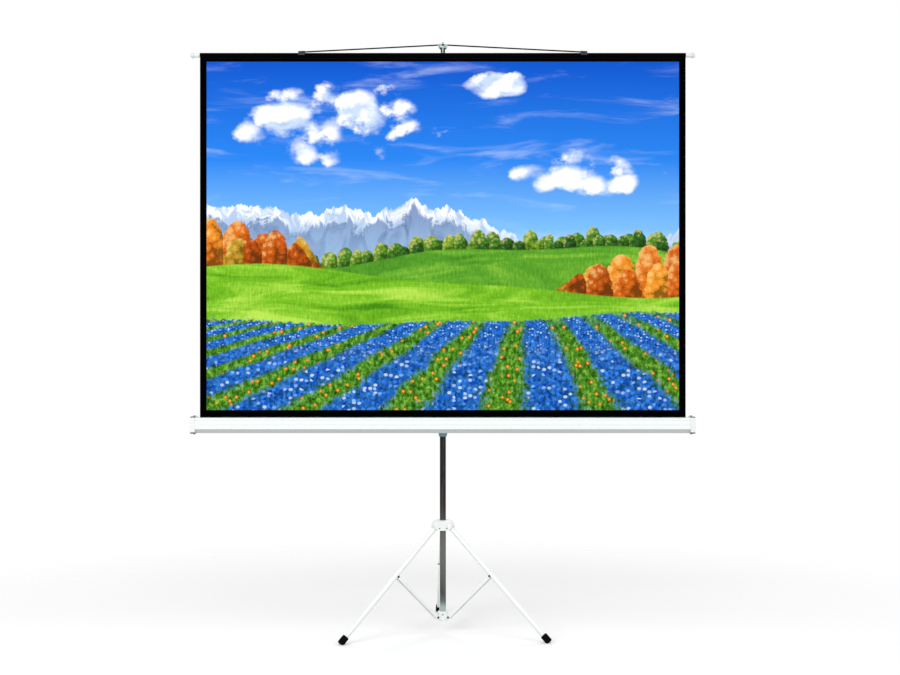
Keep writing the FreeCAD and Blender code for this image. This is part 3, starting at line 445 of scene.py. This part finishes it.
def braid(name):
    """Black braided cord: two sets of strands that cross round it, and stray fibres."""
    g = Graph(name)
    x, y, z = g.split(g.place)
    middle_z = g.plus(g.times(g.absolute(x), -CORD_RISE), CORD_OVER_HOOK[2])
    around = g.math("ARCTAN2", g.minus(z, middle_z), g.minus(y, CORD_OVER_HOOK[1]))
    along = g.times(x, BRAID_TURN_PER_M)
    one = g.sine(g.plus(along, g.times(around, BRAID_STRANDS)))
    two = g.sine(g.minus(along, g.times(around, BRAID_STRANDS)))
    strand = g.plus(g.times(g.times(one, two), 0.5), 0.5)
    fibre = g.noise(g.place, scale=2600, detail=3, rough=0.7)
    hair = g.mix(fibre, srgb(3, 3, 3), srgb(16, 15, 16))
    g.set(Base_Color=g.mix(g.times(strand, 0.6), srgb(1, 1, 1), hair))
    g.set(Roughness=0.85, Specular_IOR_Level=0.02)
    g.bump(g.plus(g.times(strand, 0.75), g.times(fibre, 0.25)), distance=0.0004, strength=0.7)
    return g.material


# The printed view. Its places are counted across and up in picture heights from its lower left corner

# Oval banks of cloud: (middle, reach)
CLOUD_BANKS = (
    ((0.34, 0.82), (0.40, 0.17)),
    ((1.10, 0.68), (0.30, 0.10)),
    ((0.84, 0.93), (0.14, 0.06)),
)

# Skylines: a height, and waves as (height, turns per picture height, phase)
RANGE_LINE = (0.535, ((0.060, 0.55, 0.6), (0.030, 1.35, 2.1)))
BACK_HILL_LINE = (0.440, ((0.030, 0.62, 4.0), (0.010, 1.7, 1.0)))
FRONT_HILL_LINE = (0.370, ((0.042, 0.46, 1.2), (0.008, 1.3, 0.3)))
FIELD_LINE = (0.268, ((0.020, 0.40, 3.6), (0.004, 1.9, 0.0)))

# Rows of trees: (height, trees per picture height, phase), where the front ones thin out, and leaf colours
BACK_TREES = ((0.062, 21, 3.1), (0.044, 27, 5.7))
FRONT_TREES = ((0.150, 11, 7.4), (0.115, 14, 2.6))
LEFT_GROVE_THINS = (0.22, 0.36)
RIGHT_GROVE_THICKENS = (0.98, 1.12)
GREEN_LEAVES = (
    (0.0, srgb(36, 92, 34)),
    (0.6, srgb(74, 132, 40)),
    (1.0, srgb(120, 158, 44)),
)
AUTUMN_LEAVES = (
    (0.0, srgb(168, 66, 18)),
    (0.45, srgb(214, 104, 26)),
    (0.75, srgb(236, 150, 44)),
    (1.0, srgb(120, 142, 42)),
)

# Grass, from its shade to its light
BACK_GRASS = (srgb(52, 118, 34), srgb(92, 160, 44), srgb(150, 200, 66))
FRONT_GRASS = (srgb(66, 136, 22), srgb(122, 188, 40), srgb(182, 224, 84))

# Flower field: where its rows meet, how they fan out, and how many heads a picture height holds
VANISHING_ACROSS = 0.92
VANISHING_UP = 0.415
ROW_FAN = 9.0
NEAR_HEADS = 66
FAR_HEADS = 125
POPPIES = 30


def skyline(g, across, line):
    """The height of a skyline at each place across."""
    height, waves = line
    for lift, turns, phase in waves:
        wave = g.sine(g.plus(g.times(across, turns * 2 * math.pi), phase))
        height = g.plus(height, g.times(wave, lift))
    return height


def below(g, up, line, blur=0.003):
    """1 under a skyline and 0 above it."""
    return g.rise(g.minus(line, up), -blur, blur)


def billow(g, across, up):
    """Heaped cloud forms: rounded lumps with finer curls on them."""
    raised = g.times(up, 1.35)
    seat = g.join(across, raised)
    curl = g.minus(g.noise(seat, scale=11, detail=6, rough=0.62, flat=True), 0.5)
    bent = g.join(g.plus(across, g.times(curl, 0.07)), g.plus(raised, g.times(curl, 0.05)))
    lump = g.minus(0.62, g.cells(bent, scale=9.5))
    broad = g.noise(seat, scale=3.6, detail=5, flat=True)
    return g.plus(g.plus(g.times(broad, 0.72), g.times(lump, 0.34)), g.times(curl, 0.34))


def oval(g, across, up, middle, reach):
    """1 in the middle of an oval, 0 from its edge outwards."""
    dx = g.times(g.minus(across, middle[0]), 1 / reach[0])
    dy = g.times(g.minus(up, middle[1]), 1 / reach[1])
    return g.fall(g.plus(g.times(dx, dx), g.times(dy, dy)), 0.0, 1.0)


def sky(g, across, up, flat):
    """Blue that deepens upwards, with wisps and banks of heaped cloud lit from the upper left."""
    blue = g.ramp(up, [
        (0.42, srgb(206, 228, 246)),
        (0.52, srgb(120, 184, 242)),
        (0.72, srgb(42, 128, 230)),
        (1.00, srgb(16, 82, 196)),
    ])
    puff = billow(g, across, up)
    bank = 0.0
    for middle, reach in CLOUD_BANKS:
        bank = g.most(bank, oval(g, across, up, middle, reach))
    body = g.plus(puff, g.times(bank, 0.46))
    cover = g.rise(body, 0.72, 0.88)
    towards_sun = billow(g, g.minus(across, 0.016), g.plus(up, 0.026))
    lit = g.rise(g.minus(puff, towards_sun), -0.09, 0.07)
    thick = g.rise(body, 0.86, 1.06)
    unlit = g.mix(thick, srgb(196, 214, 240), srgb(150, 172, 208))
    cloud = g.mix(lit, unlit, srgb(252, 253, 255))
    streaks = g.noise(g.scaled(flat, (0.8, 5.0, 1.0)), scale=3.4, detail=6, rough=0.6, bend=0.4, flat=True)
    wisp = g.rise(streaks, 0.52, 0.86)
    veiled = g.mix(g.times(wisp, 0.35), blue, srgb(226, 238, 250))
    return g.mix(cover, veiled, cloud)


def mountains(g, across, up, flat):
    """Snowy range: (cover, colour)."""
    crag = g.noise(g.join(across, 0.0), scale=9, detail=6, rough=0.6, flat=True)
    line = g.plus(skyline(g, across, RANGE_LINE), g.swing(crag, 0.16))
    face = g.noise(g.scaled(flat, (1.0, 0.55, 1.0)), scale=22, detail=6, rough=0.62, bend=0.8, flat=True)
    rock = g.mix(g.rise(face, 0.35, 0.62), srgb(62, 86, 134), srgb(128, 152, 192))
    depth = g.minus(line, up)
    snow = g.fall(g.plus(depth, g.swing(face, 0.16)), 0.030, 0.052)
    white = g.mix(g.rise(face, 0.38, 0.58), srgb(176, 198, 230), srgb(248, 250, 255))
    colour = g.mix(snow, rock, white)
    haze = g.rise(up, 0.45, 0.58, start=0.62, end=0.0)
    return below(g, up, line, blur=0.002), g.mix(haze, colour, srgb(158, 190, 226))


def trees(g, across, up, flat, base, row, leaves, presence=1.0):
    """A row of round-topped trees along a skyline, as tall as presence allows: (cover, colour)."""
    tall, count, phase = row
    seat = g.plus(across, phase)
    names = {"W": seat, "Scale": count, "Randomness": 0.75}
    tree = g.add("ShaderNodeTexVoronoi", names, voronoi_dimensions="1D").outputs
    pick = g.split(tree["Color"])
    ragged = g.swing(g.noise(flat, scale=70, detail=5, rough=0.7, flat=True), 0.55)
    reach = g.plus(g.times(tree["Distance"], 1.75), ragged)
    dome = g.math("SQRT", g.most(g.minus(1.0, g.times(reach, reach)), 0.0))
    growth = g.rise(pick[1], 0.0, 1.0, start=0.50, end=1.10, smooth=False)
    height = g.times(g.times(dome, growth), presence)
    line = g.plus(base, g.times(g.minus(height, 0.05), tall))
    side = g.times(g.minus(seat, tree["W"]), count)
    level = g.times(g.minus(up, base), 1 / tall)
    sun = g.plus(g.times(g.minus(level, 0.45), 0.75), g.times(side, -0.65))
    clump = g.times(g.minus(0.5, g.cells(flat, scale=count * 3.6)), 0.75)
    leaf = g.swing(g.noise(flat, scale=count * 11, detail=4, rough=0.7, flat=True), 0.9)
    light = g.plus(g.plus(sun, clump), leaf)
    tint = g.ramp(pick[0], leaves)
    dark = g.mix(0.72, tint, srgb(26, 34, 12))
    pale = g.mix(0.42, tint, srgb(255, 232, 150))
    sunlit = g.mix(g.rise(light, 0.10, 0.55), tint, pale)
    return below(g, up, line, blur=0.0022), g.mix(g.rise(light, -0.45, 0.12), dark, sunlit)


def meadow(g, flat, grass, stretch):
    """Mown grass: soft swathes with fine blades."""
    dark, middle, light = grass
    drawn_out = g.scaled(flat, (0.7, stretch, 1.0))
    swathe = g.noise(drawn_out, scale=5.0, detail=4, rough=0.55, bend=0.6, flat=True)
    blade = g.noise(g.scaled(flat, (1.0, 0.30, 1.0)), scale=170, detail=3, rough=0.7, flat=True)
    share = g.plus(g.times(swathe, 0.72), g.times(blade, 0.28))
    return g.ramp(share, [(0.30, dark), (0.50, middle), (0.68, light)])


def flower_heads(g, flat, count):
    """Round heads: (1 on a head and less towards its rim, petal colour)."""
    seat = g.scaled(flat, (1.0, 1.3, 1.0))
    head = g.fall(g.cells(seat, scale=count), 0.24, 0.50)
    petal = g.ramp(g.split(g.cells(seat, scale=count, what="Color"))[0], [
        (0.05, srgb(10, 60, 168)),
        (0.40, srgb(20, 96, 212)),
        (0.75, srgb(62, 138, 238)),
        (0.97, srgb(186, 210, 252)),
    ])
    return head, petal


def flower_rows(g, across, up, flat):
    """Rows of blue flowers that run away to a vanishing point, with green and poppies between them."""
    away = g.most(g.minus(VANISHING_UP, up), 0.02)
    fan = g.math("DIVIDE", g.minus(across, VANISHING_ACROSS), away)
    wobble = g.swing(g.noise(flat, scale=9, detail=3, flat=True), 1.6)
    row = g.plus(g.times(g.sine(g.plus(g.times(fan, ROW_FAN), wobble)), 0.5), 0.5)
    tuft = g.noise(g.scaled(flat, (1.0, 0.7, 1.0)), scale=75, detail=6, rough=0.75, flat=True)
    leaf = g.ramp(tuft, [
        (0.34, srgb(22, 62, 18)),
        (0.52, srgb(74, 136, 34)),
        (0.68, srgb(150, 198, 70)),
    ])
    thick = g.rise(g.plus(row, g.swing(tuft, 1.5)), 0.22, 0.66)
    near_head, near_petal = flower_heads(g, flat, NEAR_HEADS)
    far_head, far_petal = flower_heads(g, flat, FAR_HEADS)
    close = g.rise(away, 0.20, 0.30)
    head = g.plus(g.times(close, near_head), g.times(g.minus(1.0, close), far_head))
    shaded = g.ramp(tuft, [
        (0.36, srgb(12, 48, 92)),
        (0.50, srgb(22, 84, 176)),
        (0.64, srgb(48, 122, 220)),
    ])
    field = g.mix(g.times(thick, 0.85), leaf, shaded)
    field = g.mix(g.times(thick, head), field, g.mix(close, far_petal, near_petal))
    bloom = g.plus(g.cells(flat, scale=POPPIES), g.swing(tuft, 0.16))
    poppy = g.fall(bloom, 0.11, 0.16)
    orange = g.mix(g.rise(bloom, 0.03, 0.13), srgb(255, 176, 62), srgb(222, 92, 16))
    field = g.mix(g.times(poppy, g.fall(row, 0.12, 0.42)), field, orange)
    distance = g.rise(up, 0.22, 0.36, start=0.0, end=0.55)
    return g.mix(distance, field, srgb(52, 118, 206))


def landscape(g):
    """A made-up view: sky, snowy range, hills with woods, and a field of blue flowers."""
    x, _, z = g.split(g.place)
    picture_h = PICTURE_HIGH.z - PICTURE_LOW.z
    across = g.times(g.minus(x, PICTURE_LOW.x), 1 / picture_h)
    up = g.times(g.minus(z, PICTURE_LOW.z), 1 / picture_h)
    flat = g.join(across, up)
    view = sky(g, across, up, flat)
    cover, colour = mountains(g, across, up, flat)
    view = g.mix(cover, view, colour)
    back_hill = skyline(g, across, BACK_HILL_LINE)
    for row in BACK_TREES:
        cover, colour = trees(g, across, up, flat, back_hill, row, GREEN_LEAVES)
        view = g.mix(cover, view, colour)
    view = g.mix(below(g, up, back_hill), view, meadow(g, flat, BACK_GRASS, stretch=3.0))
    front_hill = skyline(g, across, FRONT_HILL_LINE)
    groves = g.most(g.fall(across, *LEFT_GROVE_THINS), g.rise(across, *RIGHT_GROVE_THICKENS))
    for row in FRONT_TREES:
        cover, colour = trees(g, across, up, flat, front_hill, row, AUTUMN_LEAVES, groves)
        view = g.mix(cover, view, colour)
    view = g.mix(below(g, up, front_hill), view, meadow(g, flat, FRONT_GRASS, stretch=4.5))
    tufted = g.swing(g.noise(flat, scale=90, detail=3, flat=True), 0.02)
    edge = g.plus(skyline(g, across, FIELD_LINE), tufted)
    return g.mix(below(g, up, edge, blur=0.004), view, flower_rows(g, across, up, flat))


def inside(g, value, low, high, blur=0.0003):
    """1 between two places and 0 outside them."""
    return g.least(g.rise(value, low - blur, low + blur), g.fall(value, high - blur, high + blur))


def screen_front(name):
    """Matte screen cloth with a printed view inside a black border."""
    g = Graph(name)
    x, _, z = g.split(g.place)
    across = inside(g, x, PICTURE_LOW.x, PICTURE_HIGH.x)
    shown = g.least(across, inside(g, z, PICTURE_LOW.z, PICTURE_HIGH.z))
    border = g.mix(g.noise(g.place, scale=40, detail=4), srgb(0, 0, 1), srgb(2, 2, 3))
    g.set(Base_Color=g.mix(shown, border, landscape(g)))
    g.set(Roughness=g.rise(g.noise(g.place, scale=30, detail=3), 0.3, 0.7, start=0.82, end=0.92))
    g.set(Specular_IOR_Level=0.01)
    g.bump(weave_height(g, pitch=0.0009), distance=0.00006, strength=0.3)
    return g.material


WHITE_ENAMEL = enamel("white_enamel", srgb(243, 247, 246))
CASE_ENAMEL = enamel("case_enamel", srgb(241, 246, 245), roughness=0.30, painted_shade_below=BEVEL_TOP_Z)
WHITE_PLASTIC = plastic("white_plastic", srgb(240, 244, 243), roughness=0.36)
# Painted shade: the top bar's caps take a darker copy of the white plastic
SHADED_BAR_CAP_PLASTIC = plastic("shaded_bar_cap_plastic", srgb(222, 227, 226), roughness=0.40)
# The case's end caps carry painted shade along their corners
CASE_CAP_PLASTIC = plastic("case_cap_plastic", srgb(236, 241, 240), 0.36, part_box("case_end_cap_left"))
GREY_PLASTIC = plastic("grey_plastic", srgb(128, 170, 172), roughness=0.42)
BLACK_PLASTIC = plastic("black_plastic", srgb(12, 12, 13), roughness=0.50)
PLATED = plated("dark_plating")
ZINC = bare_metal("zinc_plate", srgb(176, 180, 182))
DARK_STEEL = bare_metal("dark_steel", srgb(58, 60, 61), roughness=0.42, metallic=0.7)
PIN_STEEL = bare_metal("pin_steel", srgb(22, 23, 24), roughness=0.52, metallic=0.3)
HOOK_METAL = bare_metal("hook_metal", srgb(136, 150, 144), roughness=0.42, metallic=0.55)
HOOK_PLATE = hook_plate("hook_plate")
HOOK_STEM = hook_stem("hook_stem")
SPRING_STEEL = bare_metal("spring_steel", srgb(120, 118, 112), roughness=0.38)
RUBBER = rubber("foot_rubber")
SCREEN_FRONT = screen_front("screen_print")
SCREEN_BACK = black_cloth("screen_backing", srgb(18, 18, 19))
HEM_CLOTH = black_cloth("hem_cloth", srgb(2, 2, 2), gloss=0.02, lint_share=0.03)
THREAD = black_cloth("stitch_thread", srgb(20, 20, 21), pitch=0.0006)
BRAID = braid("braided_cord")

# Finish of each solid, by the start of its name
FINISHES = {
    "mast_tube": PLATED,
    "extension_tube": PLATED,
    "base_collar": WHITE_PLASTIC,
    "collar_screw": ZINC,
    "collar_brace_pins": DARK_STEEL,
    "mast_top_bush": BLACK_PLASTIC,
    "hub_stop_rivet": ZINC,
    "leg_hub": WHITE_PLASTIC,
    "hub_leg_pins": PIN_STEEL,
    "hub_grip_spring": SPRING_STEEL,
    "brace_rivet": DARK_STEEL,
    "brace_": WHITE_ENAMEL,
    "leg_tube": WHITE_ENAMEL,
    "leg_top": WHITE_PLASTIC,
    "leg_foot": RUBBER,
    "extension_glide": BLACK_PLASTIC,
    "hook_plug": BLACK_PLASTIC,
    "hook_back_plate": HOOK_STEM,
    "hook_saddle": HOOK_METAL,
    "hook_front_plate": HOOK_PLATE,
    "hook_rivets": ZINC,
    "mast_knob": BLACK_PLASTIC,
    "case_slider": GREY_PLASTIC,
    "case_pivot_bolt": ZINC,
    "pivot_washer": ZINC,
    "slider_knob": BLACK_PLASTIC,
    "case_shell": CASE_ENAMEL,
    "case_end_cap": CASE_CAP_PLASTIC,
    "end_cap_screws": DARK_STEEL,
    "case_back_plate": ZINC,
    "back_plate_rivets": ZINC,
    "spring_shaft": SPRING_STEEL,
    "spring_anchor": ZINC,
    "roller_spring": SPRING_STEEL,
    "roller_tube": ZINC,
    "spring_side_plug": BLACK_PLASTIC,
    "spring_drive_plug": BLACK_PLASTIC,
    "idler_plug": BLACK_PLASTIC,
    "top_bar_cap": SHADED_BAR_CAP_PLASTIC,
    "top_bar": WHITE_ENAMEL,
    "cord_eye": BLACK_PLASTIC,
}
REPLACED = ("screen_field", "screen_border", "bar_hem", "hanger_cord", "fabric_wrap")


def finish_solids():
    """Gives each solid that stays visible the finish with the longest matching name."""
    for name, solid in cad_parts.items():
        if name in REPLACED:
            continue
        start = max((key for key in FINISHES if name.startswith(key)), key=len)
        solid.data.materials.clear()
        solid.data.materials.append(FINISHES[start])


# Pieces

def placed(name, data):
    piece = bpy.data.objects.new(name, data)
    bpy.context.scene.collection.objects.link(piece)
    return piece


def mesh_piece(name, points, faces, materials, face_materials=None, smooth=True):
    mesh = bpy.data.meshes.new(name)
    mesh.from_pydata(points, [], faces)
    for material in materials:
        mesh.materials.append(material)
    if face_materials:
        mesh.polygons.foreach_set("material_index", face_materials)
    mesh.polygons.foreach_set("use_smooth", [smooth] * len(faces))
    mesh.update()
    return placed(name, mesh)


def ripple(across, down):
    """How far the sheet stands out of its plane: nothing at its top and foot."""
    still = math.sin(math.pi * down)
    wave = math.sin(RIPPLE_ACROSS * across + RIPPLE_PHASE)
    return RIPPLE_DEPTH * still * wave * math.cos(RIPPLE_FADE_ACROSS * across + RIPPLE_FADE_DOWN * down)


def screen_sheet():
    """The hanging cloth: a thin closed sheet with a faint ripple."""
    columns, rows = SHEET_COLUMNS + 1, SHEET_ROWS + 1
    points, faces, sides = [], [], []
    for side in (-1, 1):
        for row in range(rows):
            down = row / SHEET_ROWS
            z = SHEET_HIGH.z + (SHEET_LOW.z - SHEET_HIGH.z) * down
            for column in range(columns):
                across = column / SHEET_COLUMNS
                x = SHEET_LOW.x + (SHEET_HIGH.x - SHEET_LOW.x) * across
                points.append((x, SHEET_Y + side * SHEET_T / 2 + ripple(across, down), z))

    def index(side, row, column):
        return side * columns * rows + row * columns + column

    for row in range(SHEET_ROWS):
        for column in range(SHEET_COLUMNS):
            corners = ((row, column), (row + 1, column), (row + 1, column + 1), (row, column + 1))
            faces.append([index(0, *corner) for corner in corners])
            sides.append(0)
            faces.append([index(1, *corner) for corner in reversed(corners)])
            sides.append(1)
    rim = [(0, column) for column in range(columns)]
    rim += [(row, columns - 1) for row in range(1, rows)]
    rim += [(rows - 1, column) for column in reversed(range(columns - 1))]
    rim += [(row, 0) for row in reversed(range(1, rows - 1))]
    for start, end in zip(rim, rim[1:] + rim[:1]):
        faces.append([index(0, *start), index(0, *end), index(1, *end), index(1, *start)])
        sides.append(1)
    return mesh_piece("screen_sheet", points, faces, [SCREEN_FRONT, SCREEN_BACK], sides, smooth=False)


def hem_outline():
    """The hem's outer line in (y, z) about the bar: round the bar, then down onto the sheet."""
    tail_half = SHEET_T / 2 + HEM_T
    tail_top = SHEET_HIGH.z - BAR_Z
    outline = [(-tail_half, tail_top - HEM_TAIL), (-tail_half, tail_top)]
    for step in range(HEM_ARC_STEPS + 1):
        turned = (2 * HEM_LEAVES_BAR - 2 * math.pi) * step / HEM_ARC_STEPS
        angle = -math.pi / 2 - HEM_LEAVES_BAR + turned
        outline.append((HEM_R * math.cos(angle), HEM_R * math.sin(angle)))
    return outline + [(tail_half, tail_top), (tail_half, tail_top - HEM_TAIL)]


def hem_section():
    """The hem's outer line and then its inner line, as one closed outline."""
    outline = hem_outline()
    inner = []
    for y, z in outline:
        share = 1 - HEM_T / math.hypot(y, z)
        inner.append((y * share, z * share))
    for number in (0, 1, -2, -1):
        inner[number] = (math.copysign(SHEET_T / 2, outline[number][0]), outline[number][1])
    return outline + inner[::-1]


def screen_hem():
    """The sleeve of cloth round the top bar, puckered a little along its seam."""
    section = hem_section()
    size = len(section)
    points, faces = [], []
    for place in range(HEM_SECTIONS + 1):
        x = HEM_LOW.x + (HEM_HIGH.x - HEM_LOW.x) * place / HEM_SECTIONS
        pucker = sum(height * math.sin(place * turn) for height, turn in HEM_PUCKERS)
        for y, z in section:
            low = max(0.0, -z / HEM_R)
            points.append((x, SHEET_Y + y + math.copysign(pucker, y) * low, BAR_Z + z))
    for place in range(HEM_SECTIONS):
        a, b = place * size, (place + 1) * size
        for corner in range(size):
            after = (corner + 1) % size
            faces.append([a + corner, b + corner, b + after, a + after])
    for base, flip in ((0, False), (HEM_SECTIONS * size, True)):
        for corner in range(size // 2 - 1):
            ring = [base + corner, base + corner + 1, base + size - 2 - corner, base + size - 1 - corner]
            faces.append(ring[::-1] if flip else ring)
    return mesh_piece("screen_hem", points, faces, [HEM_CLOTH])


def hem_stitches():
    """A row of thread stitches along the hem's tail, on both faces."""
    shape = bmesh.new()
    count = int((HEM_HIGH.x - HEM_LOW.x - 2 * STITCH_END_MARGIN) / STITCH_PITCH)
    z = SHEET_HIGH.z - HEM_TAIL * STITCH_DROP_SHARE
    for side in (-1, 1):
        y = SHEET_Y + side * (SHEET_T / 2 + HEM_T + STITCH_R * STITCH_PROUD_SHARE)
        for number in range(count):
            x = HEM_LOW.x + STITCH_END_MARGIN + (number + 0.5) * STITCH_PITCH
            made = bmesh.ops.create_uvsphere(shape, u_segments=6, v_segments=4, radius=1.0)["verts"]
            for vertex in made:
                vertex.co = Vector((
                    x + vertex.co.x * STITCH_LENGTH / 2,
                    y + vertex.co.y * STITCH_R,
                    z + vertex.co.z * STITCH_R * STITCH_HEIGHT_SHARE,
                ))
    mesh = bpy.data.meshes.new("hem_stitches")
    shape.to_mesh(mesh)
    shape.free()
    mesh.materials.append(THREAD)
    return placed("hem_stitches", mesh)


def wound_sheet():
    """The end of the sheet on the roller: a spiral of cloth."""
    steps = WRAP_TURNS * WRAP_STEPS
    points, faces = [], []
    line = []
    for step in range(steps + 1):
        angle = 2 * math.pi * step / WRAP_STEPS
        radius = WRAP_R - WRAP_CLOTH_T / 2 - WRAP_PITCH * (WRAP_TURNS - angle / (2 * math.pi))
        line.append((angle, radius))
    for x in (WRAP_LOW.x, WRAP_HIGH.x):
        for offset in (-WRAP_CLOTH_T / 2, WRAP_CLOTH_T / 2):
            for angle, radius in line:
                reach = radius + offset
                points.append((x, WRAP_Y + reach * math.cos(angle), WRAP_Z + reach * math.sin(angle)))
    run = steps + 1
    left_in, left_out, right_in, right_out = (run * number for number in range(4))
    for step in range(steps):
        faces.append([left_out + step, right_out + step, right_out + step + 1, left_out + step + 1])
        faces.append([left_in + step + 1, right_in + step + 1, right_in + step, left_in + step])
        faces.append([left_in + step, left_out + step, left_out + step + 1, left_in + step + 1])
        faces.append([right_in + step + 1, right_out + step + 1, right_out + step, right_in + step])
    for step, flip in ((0, False), (steps, True)):
        end = [left_in + step, right_in + step, right_out + step, left_out + step]
        faces.append(end[::-1] if flip else end)
    return mesh_piece("wound_sheet", points, faces, [SCREEN_BACK])


def hanger_cord():
    """The cord from eye to eye over the hook, on one smooth spline."""
    mirror = [(-x, y, z) for x, y, z in (CORD_BEFORE_HOOK, CORD_EXIT)]
    route = [CORD_EXIT, CORD_BEFORE_HOOK, CORD_OVER_HOOK] + mirror
    curve = bpy.data.curves.new("cord_line", "CURVE")
    curve.dimensions = "3D"
    line = curve.splines.new("NURBS")
    line.points.add(len(route) - 1)
    for point, place in zip(line.points, route):
        point.co = (*place, 1.0)
    line.order_u = 3
    line.use_endpoint_u = True
    line.resolution_u = 24
    curve.bevel_depth = CORD_D / 2
    curve.bevel_resolution = 4
    curve.use_fill_caps = True
    curve.materials.append(BRAID)
    return placed("hanger_cord_line", curve)


def dress():
    """Finishes the solids, and makes the soft pieces that stand for the others."""
    finish_solids()
    sheet = screen_sheet()
    hem = screen_hem()
    stitches = hem_stitches()
    wound = wound_sheet()
    cord = hanger_cord()

    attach(sheet, "bar")
    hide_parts("screen_field", "screen_border")
    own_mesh(sheet)

    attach(hem, "bar")
    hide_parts("bar_hem")
    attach(stitches, "bar")

    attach(wound, "roller")
    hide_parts("fabric_wrap")

    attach(cord, "bar")
    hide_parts("hanger_cord")


# Stage, light and camera

def floor():
    """A pale floor that fades into the white surroundings away from the stand."""
    g = Graph("pale_floor")
    x, y, _ = g.split(g.place)
    away = g.math("SQRT", g.plus(g.times(x, x), g.times(y, y)))
    grain = g.mix(g.noise(g.place, scale=30, detail=4), srgb(251, 251, 251), srgb(254, 254, 254))
    path = g.add("ShaderNodeLightPath").outputs
    seen = g.most(path["Is Camera Ray"], g.most(path["Is Glossy Ray"], path["Is Transmission Ray"]))
    g.set(Base_Color=g.mix(seen, srgb(205, 205, 205), grain), Roughness=0.9)
    g.set(Emission_Color=(1.0, 1.0, 1.0, 1.0), Emission_Strength=g.times(seen, FLOOR_GLOW))
    g.set(Specular_IOR_Level=0.0)
    g.set(Alpha=g.fall(away, FLOOR_FADE_START, FLOOR_FADE_END))
    points = [(0, 0, 0)]
    for number in range(FLOOR_SIDES):
        angle = 2 * math.pi * number / FLOOR_SIDES
        points.append((FLOOR_R * math.cos(angle), FLOOR_R * math.sin(angle), 0))
    faces = [[0, 1 + number, 1 + (number + 1) % FLOOR_SIDES] for number in range(FLOOR_SIDES)]
    mesh_piece("floor", points, faces, [g.material], smooth=False)


def surroundings():
    """White to the camera and in reflections, softer as light on the object."""
    world = bpy.data.worlds.new("studio")
    bpy.context.scene.world = world
    world.use_nodes = True
    nodes, links = world.node_tree.nodes, world.node_tree.links
    path = nodes.new("ShaderNodeLightPath")
    seen = path.outputs["Is Camera Ray"]
    for name in ("Is Glossy Ray", "Is Transmission Ray"):
        either = nodes.new("ShaderNodeMath")
        either.operation = "MAXIMUM"
        links.new(seen, either.inputs[0])
        links.new(path.outputs[name], either.inputs[1])
        seen = either.outputs[0]
    level = nodes.new("ShaderNodeMapRange")
    links.new(seen, level.inputs["Value"])
    level.inputs["To Min"].default_value = SURROUNDINGS_LIGHT
    level.inputs["To Max"].default_value = 1.0
    background = nodes["Background"]
    background.inputs["Color"].default_value = (1, 1, 1, 1)
    links.new(level.outputs["Result"], background.inputs["Strength"])


def lamp(name, place, target, size, watts):
    data = bpy.data.lights.new(name, "AREA")
    data.shape = "RECTANGLE"
    data.size, data.size_y = size
    data.energy = watts
    light = placed(name, data)
    light.location = place
    light.rotation_euler = (Vector(target) - Vector(place)).to_track_quat("-Z", "Y").to_euler()


def camera():
    data = bpy.data.cameras.new("camera")
    data.lens = LENS_MM
    data.sensor_width = SENSOR_MM
    made = placed("camera", data)
    made.location = CAMERA_PLACE
    made.rotation_euler = LEVEL_VIEW
    bpy.context.scene.camera = made


camera()
dress()
floor()
surroundings()
for lamp_name, values in LAMPS.items():
    lamp(lamp_name, *values)
bpy.context.scene.view_settings.view_transform = "Standard"
